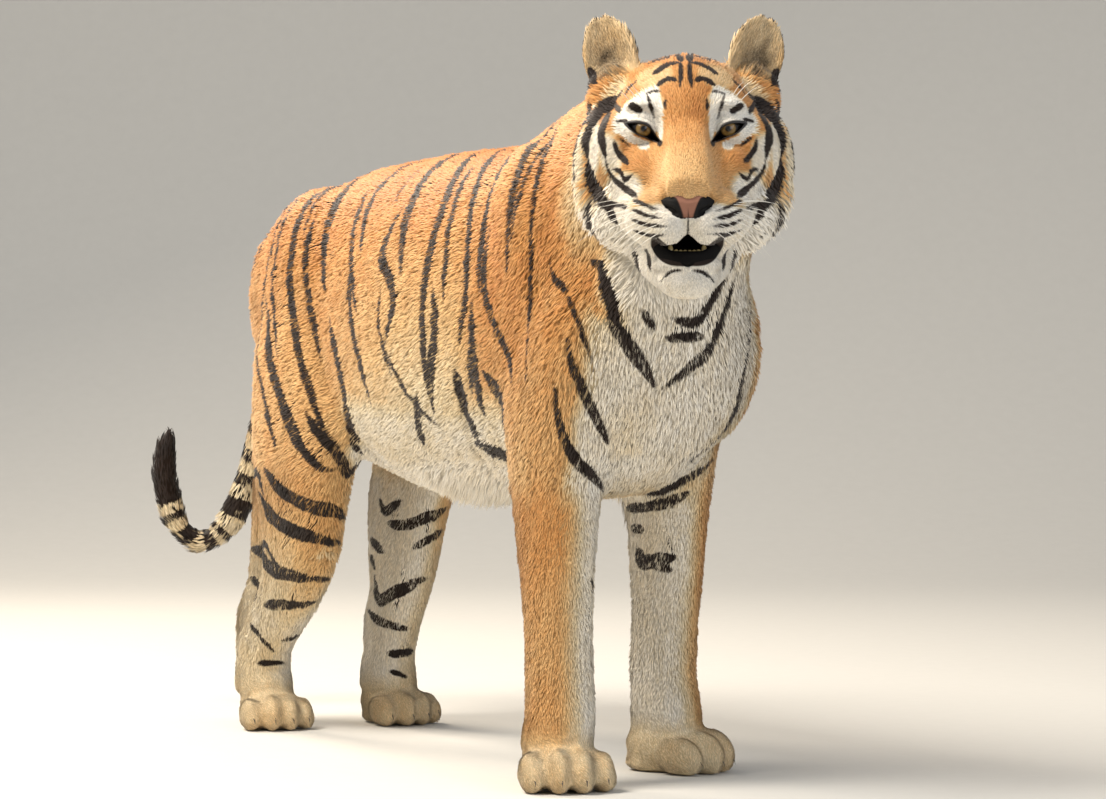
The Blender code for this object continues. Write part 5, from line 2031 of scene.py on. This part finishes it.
class Mouth:
    """The black lower lip with the tips of the lower front teeth behind it."""

    half_width = 0.047
    height = -0.1835
    proud = 0.0015
    teeth = (
        (0.0032, 0.0031, 0.0030), (0.0094, 0.0031, 0.0032),
        (0.0156, 0.0032, 0.0036), (0.0235, 0.0040, 0.0078),
    )

    def __init__(self, head: HeadFrame, tree: BVHTree) -> None:
        """Keeps the head's frame and finds the front of the chin."""
        self.head = head
        chin = front_of(head, tree, np.array([0.0]), np.array([self.height - 0.016]))[0]
        self.depth = chin - self.proud + 0.004

    def jaw_front(self, across: Array) -> Array:
        """The depth of the lower lip's front, rounded about the chin."""
        return self.depth + 0.55 * across**2 / 0.046

    def build(self) -> list[Thing]:
        """Makes the lip and the teeth."""
        lip, tooth = LIP.make(), TOOTH.make()
        stations = []
        for across in np.linspace(-self.half_width, self.half_width, 9):
            share = abs(across) / self.half_width
            upper, lower = (float(edge[0]) for edge in lip_edges(np.array([abs(across)])))
            tall, height = 0.48 * max(upper - lower, 0.003), (upper + lower) / 2
            deep = 0.0050 * (1 - share**3) + 0.0015
            centre = self.head.place([[across, self.jaw_front(across), height]])[0]
            out, up = self.head.turned([[0, -deep, 0], [0, 0, tall]])
            stations.append((centre, out, up))
        made = tube("lower_lip", stations, 2.3, around=24, steps=5)
        dressed(made, lip)
        pegs = []
        for across, wide, tall in self.teeth:
            for side in (1, -1):
                centre = (side * across, self.jaw_front(across) + 0.006, self.height + 0.0078 + tall / 2)
                bpy.ops.mesh.primitive_uv_sphere_add(
                    segments=16, ring_count=10, radius=1.0, location=tuple(self.head.place([centre])[0]),
                    rotation=(math.radians(-8), 0, self.head.turn), scale=(wide, 0.0030, tall),
                )
                pegs.append(bpy.context.active_object)
        teeth = joined("lower_teeth", pegs)
        dressed(teeth, tooth)
        return [made, teeth]


@dataclass(frozen=True)
class Whiskers:
    """Stiff white whiskers in rows on the muzzle, and a few brow hairs."""

    rows: tuple[tuple[float, float, int], ...] = (
        (0.044, -0.112, 4), (0.042, -0.124, 5), (0.040, -0.136, 5), (0.038, -0.147, 4),
    )
    step: float = 0.011
    longest: float = 0.096
    root_radius: float = 0.00065
    sag: float = 0.16

    def hair(self, start: Array, heading: Array, length: float, droop: float) -> Thing:
        """One tapered whisker curving down."""
        share = np.linspace(0, 1, 5)
        heading = unit(heading)
        line = start + heading * (share * length)[:, None]
        line[:, 2] -= droop * length * share**2
        aside = unit(np.cross(heading, (0.0, 0.0, 1.0)))
        above = np.cross(aside, heading)
        stations = []
        for place, part in zip(line, share):
            radius = self.root_radius * (1 - 0.85 * part)
            stations.append((place, aside * radius, above * radius))
        return tube("hair", stations, 2.0, around=6, steps=2)

    def root(self, head: HeadFrame, tree: BVHTree, x: float, z: float) -> Array:
        """The place just under the skin that a hair grows from."""
        y = front_of(head, tree, np.array([x]), np.array([z]))[0]
        return head.place([[x, y + 0.002, z]])[0]

    def build(self, head: HeadFrame, tree: BVHTree) -> Thing:
        """Roots every whisker on the skin and joins them.

        Args:
            head: the head's frame.
            tree: the skin.

        Returns:
            The whiskers.
        """
        rng = np.random.default_rng(SEED)
        hairs = []
        for side in (1, -1):
            for row, (across, up, count) in enumerate(self.rows):
                for k in range(count):
                    x, z = across + k * self.step, up + 0.003 * k + rng.uniform(-0.001, 0.001)
                    start = self.root(head, tree, side * x, z)
                    heading = (side * 0.95, 0.30 + 0.20 * k, 0.10 - 0.22 * row + rng.uniform(-0.1, 0.1))
                    length = self.longest * (0.50 + 0.13 * k) * rng.uniform(0.8, 1.1)
                    hairs.append(self.hair(start, head.turned([heading])[0], length, self.sag))
            for x, z, lean in ((0.062, 0.040, 0.9), (0.070, 0.044, 1.2), (0.078, 0.040, 1.5)):
                start = self.root(head, tree, side * x, z)
                heading = head.turned([(side * lean * 0.6, -0.35, 1.0)])[0]
                hairs.append(self.hair(start, heading, 0.042, 0.22))
        made = joined("whiskers", hairs)
        dressed(made, WHISKER.make())
        return made


class Claws:
    """Four claws on each paw, drawn back so that only their ends show."""

    length = 0.019
    radius = 0.0036

    def __init__(self, head: HeadFrame) -> None:
        """Keeps the head's frame, which holds the shift from the drawing."""
        self.head = head

    def claw(self, paw: Paw, k: int) -> Thing:
        """One hooked claw between the toe's tip and the ground."""
        frame, origin = paw.frame(), paw.origin(self.head.shift)
        inner = abs(k - 1.5) < 1
        across = (k - 1.5) * paw.width / 4 * 1.12
        reach = paw.length * (0.44 if inner else 0.33) + paw.length * 0.115
        stations = []
        for share in np.linspace(0, 1, 5):
            swing = share * 1.1
            local = Vector((across, -reach - 0.4 * self.length * math.sin(swing),
                            0.0235 - self.length * 0.62 * (1 - math.cos(swing)) - 0.004 * share))
            radius = self.radius * (1 - 0.88 * share)
            right = frame @ Vector((radius * 0.62, 0, 0))
            up = frame @ Vector((0, radius * swing * 0.6, radius))
            stations.append((np.array(origin + frame @ local), np.array(right), np.array(up)))
        return tube("claw", stations, 2.0, around=10, steps=3)

    def build(self) -> Thing:
        """All sixteen claws."""
        made = joined("claws", [self.claw(paw, k) for paw in PAWS for k in range(4)])
        dressed(made, CLAW.make())
        return made


# The studio


@dataclass(frozen=True)
class Lamp:
    """A square soft lamp: metres right, ahead and up from the animal's middle, its size and power."""

    name: str
    right: float
    ahead: float
    up: float
    size: float
    power: float
    tint: str


@dataclass(frozen=True)
class Studio:
    """Pale paper under and behind the animal, soft lamps, and the camera."""

    heading: tuple[float, float] = (0.4695, 0.8829)
    stand: Point = (-3.343, -6.507, 0.75)
    pitch: float = math.radians(1.5)
    lens: float = 151.36
    air: float = 0.42
    lamps: tuple[Lamp, ...] = (
        Lamp("key", -2.4, -1.6, 4.2, 2.2, 330, "#fff6ea"),
        Lamp("rim", -2.2, 2.6, 3.2, 1.6, 200, "#fff0dc"),
        Lamp("fill", 3.2, -3.4, 1.9, 3.0, 70, "#f2f6ff"),
    )

    def place(self, right: float, ahead: float, up: float) -> Vector:
        """A place given along the camera's own directions."""
        fx, fy = self.heading
        return Vector((fy * right + fx * ahead, -fx * right + fy * ahead, up))

    def floor(self) -> Thing:
        """A sheet of paper that curves up behind."""
        obj, across, along = sheet_of(2, 48, "studio_paper_sweep")
        ahead = along * 14 - 6
        rise = np.where(ahead > 4, 3.0 * (1 - np.cos(np.minimum((ahead - 4) / 3, math.pi / 2))), 0)
        rise = rise + np.maximum(ahead - 4 - 1.5 * math.pi, 0)
        ahead = np.where(ahead > 4, 4 + 3.0 * np.sin(np.minimum((ahead - 4) / 3, math.pi / 2)), ahead)
        fx, fy = self.heading
        right = (across - 0.5) * 26
        reshape(obj, np.stack([fy * right + fx * ahead, -fx * right + fy * ahead, rise], 1))
        dressed(obj, PAPER.make())
        return obj

    def light(self) -> None:
        """Hangs the lamps and lights the air."""
        middle = Vector((0, 0, 0.6))
        for lamp in self.lamps:
            data = bpy.data.lights.new(lamp.name, "AREA")
            data.shape, data.size = "SQUARE", lamp.size
            data.energy, data.color = lamp.power, linear(lamp.tint)[:3]
            obj = bpy.data.objects.new(lamp.name, data)
            obj.location = self.place(lamp.right, lamp.ahead, lamp.up)
            obj.rotation_euler = (middle - obj.location).to_track_quat("-Z", "Y").to_euler()
            bpy.context.scene.collection.objects.link(obj)
        world = bpy.data.worlds.new("studio_air")
        world.use_nodes = True
        background = world.node_tree.nodes["Background"]
        background.inputs["Color"].default_value = linear("#eef1f5")
        background.inputs["Strength"].default_value = self.air
        bpy.context.scene.world = world

    def camera(self) -> None:
        """Sets the camera where the animal is seen from."""
        data = bpy.data.cameras.new("camera")
        data.lens, data.sensor_width = self.lens, 36.0
        obj = bpy.data.objects.new("camera", data)
        obj.location = self.stand
        fx, fy = self.heading
        aim = Vector((fx * math.cos(self.pitch), fy * math.cos(self.pitch), -math.sin(self.pitch)))
        obj.rotation_euler = aim.to_track_quat("-Z", "Y").to_euler()
        bpy.context.scene.collection.objects.link(obj)
        bpy.context.scene.camera = obj
        bpy.context.scene.view_settings.view_transform = "Standard"


class Tiger:
    """The whole animal: skin, coat and the bare parts."""

    def __init__(self, frame: dict) -> None:
        """Reads the frames that everything is placed by."""
        self.frame = frame
        self.head = HeadFrame.found()
        self.anatomy = Anatomy(self.head, TailRoute())

    def dress_skin(self, skin: Thing, markings: Markings, fur: Fur) -> None:
        """Stores the markings on the skin and gives it its finish."""
        points, normals = markings.places, markings.normals
        attribute(skin, "ink", np.maximum(markings.inked(points), markings.dark_head(points, normals)))
        attribute(skin, "pale", markings.paleness(points, normals))
        # Painted shade: the skin under the coat is darkened by a brightness of 0.80.
        attribute(skin, "painted_shade_and_tone", np.full(len(points), 0.80))
        h = self.head.local(points)
        # The mouth's inside: dark gums, painted near black with the shade in the open mouth.
        inside = (np.abs(h[:, 0]) < 0.030) & (h[:, 2] > -0.202) & (h[:, 2] < -0.140)
        inside &= (h[:, 1] < 0.01) & (h[:, 1] > np.where(h[:, 2] > -0.172, -0.108, -0.080))
        attribute(skin, "gum_and_mouth_shade", inside.astype(float))
        skin.data.materials.append(fur.skin())

    def build(self) -> list[Thing]:
        """Makes every piece."""
        skin = Skin(self.frame, self.anatomy).build()
        markings = Markings(skin, self.anatomy)
        fur = Fur()
        self.dress_skin(skin, markings, fur)
        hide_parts(*FLESH)
        pieces = [skin]
        coat = Coat(self.anatomy, markings).build(fur.coat())
        pieces += coat
        pieces += Eyes(self.head).build()
        pieces.append(NosePad().build(self.head, markings.tree))
        pieces += Mouth(self.head, markings.tree).build()
        pieces.append(Whiskers().build(self.head, markings.tree))
        pieces.append(Claws(self.head).build())
        for piece in pieces:
            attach(piece, BODY)
            LOG.info("piece %s: %d triangles", piece.name, triangle_count(piece))
        return pieces


def main() -> None:
    """Builds the animal and its studio."""
    logging.basicConfig(level=logging.INFO, format="%(name)s: %(message)s")
    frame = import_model()
    studio = Studio()
    studio.camera()
    Tiger(frame).build()
    studio.floor()
    studio.light()


if __name__ == "__main__":
    main()
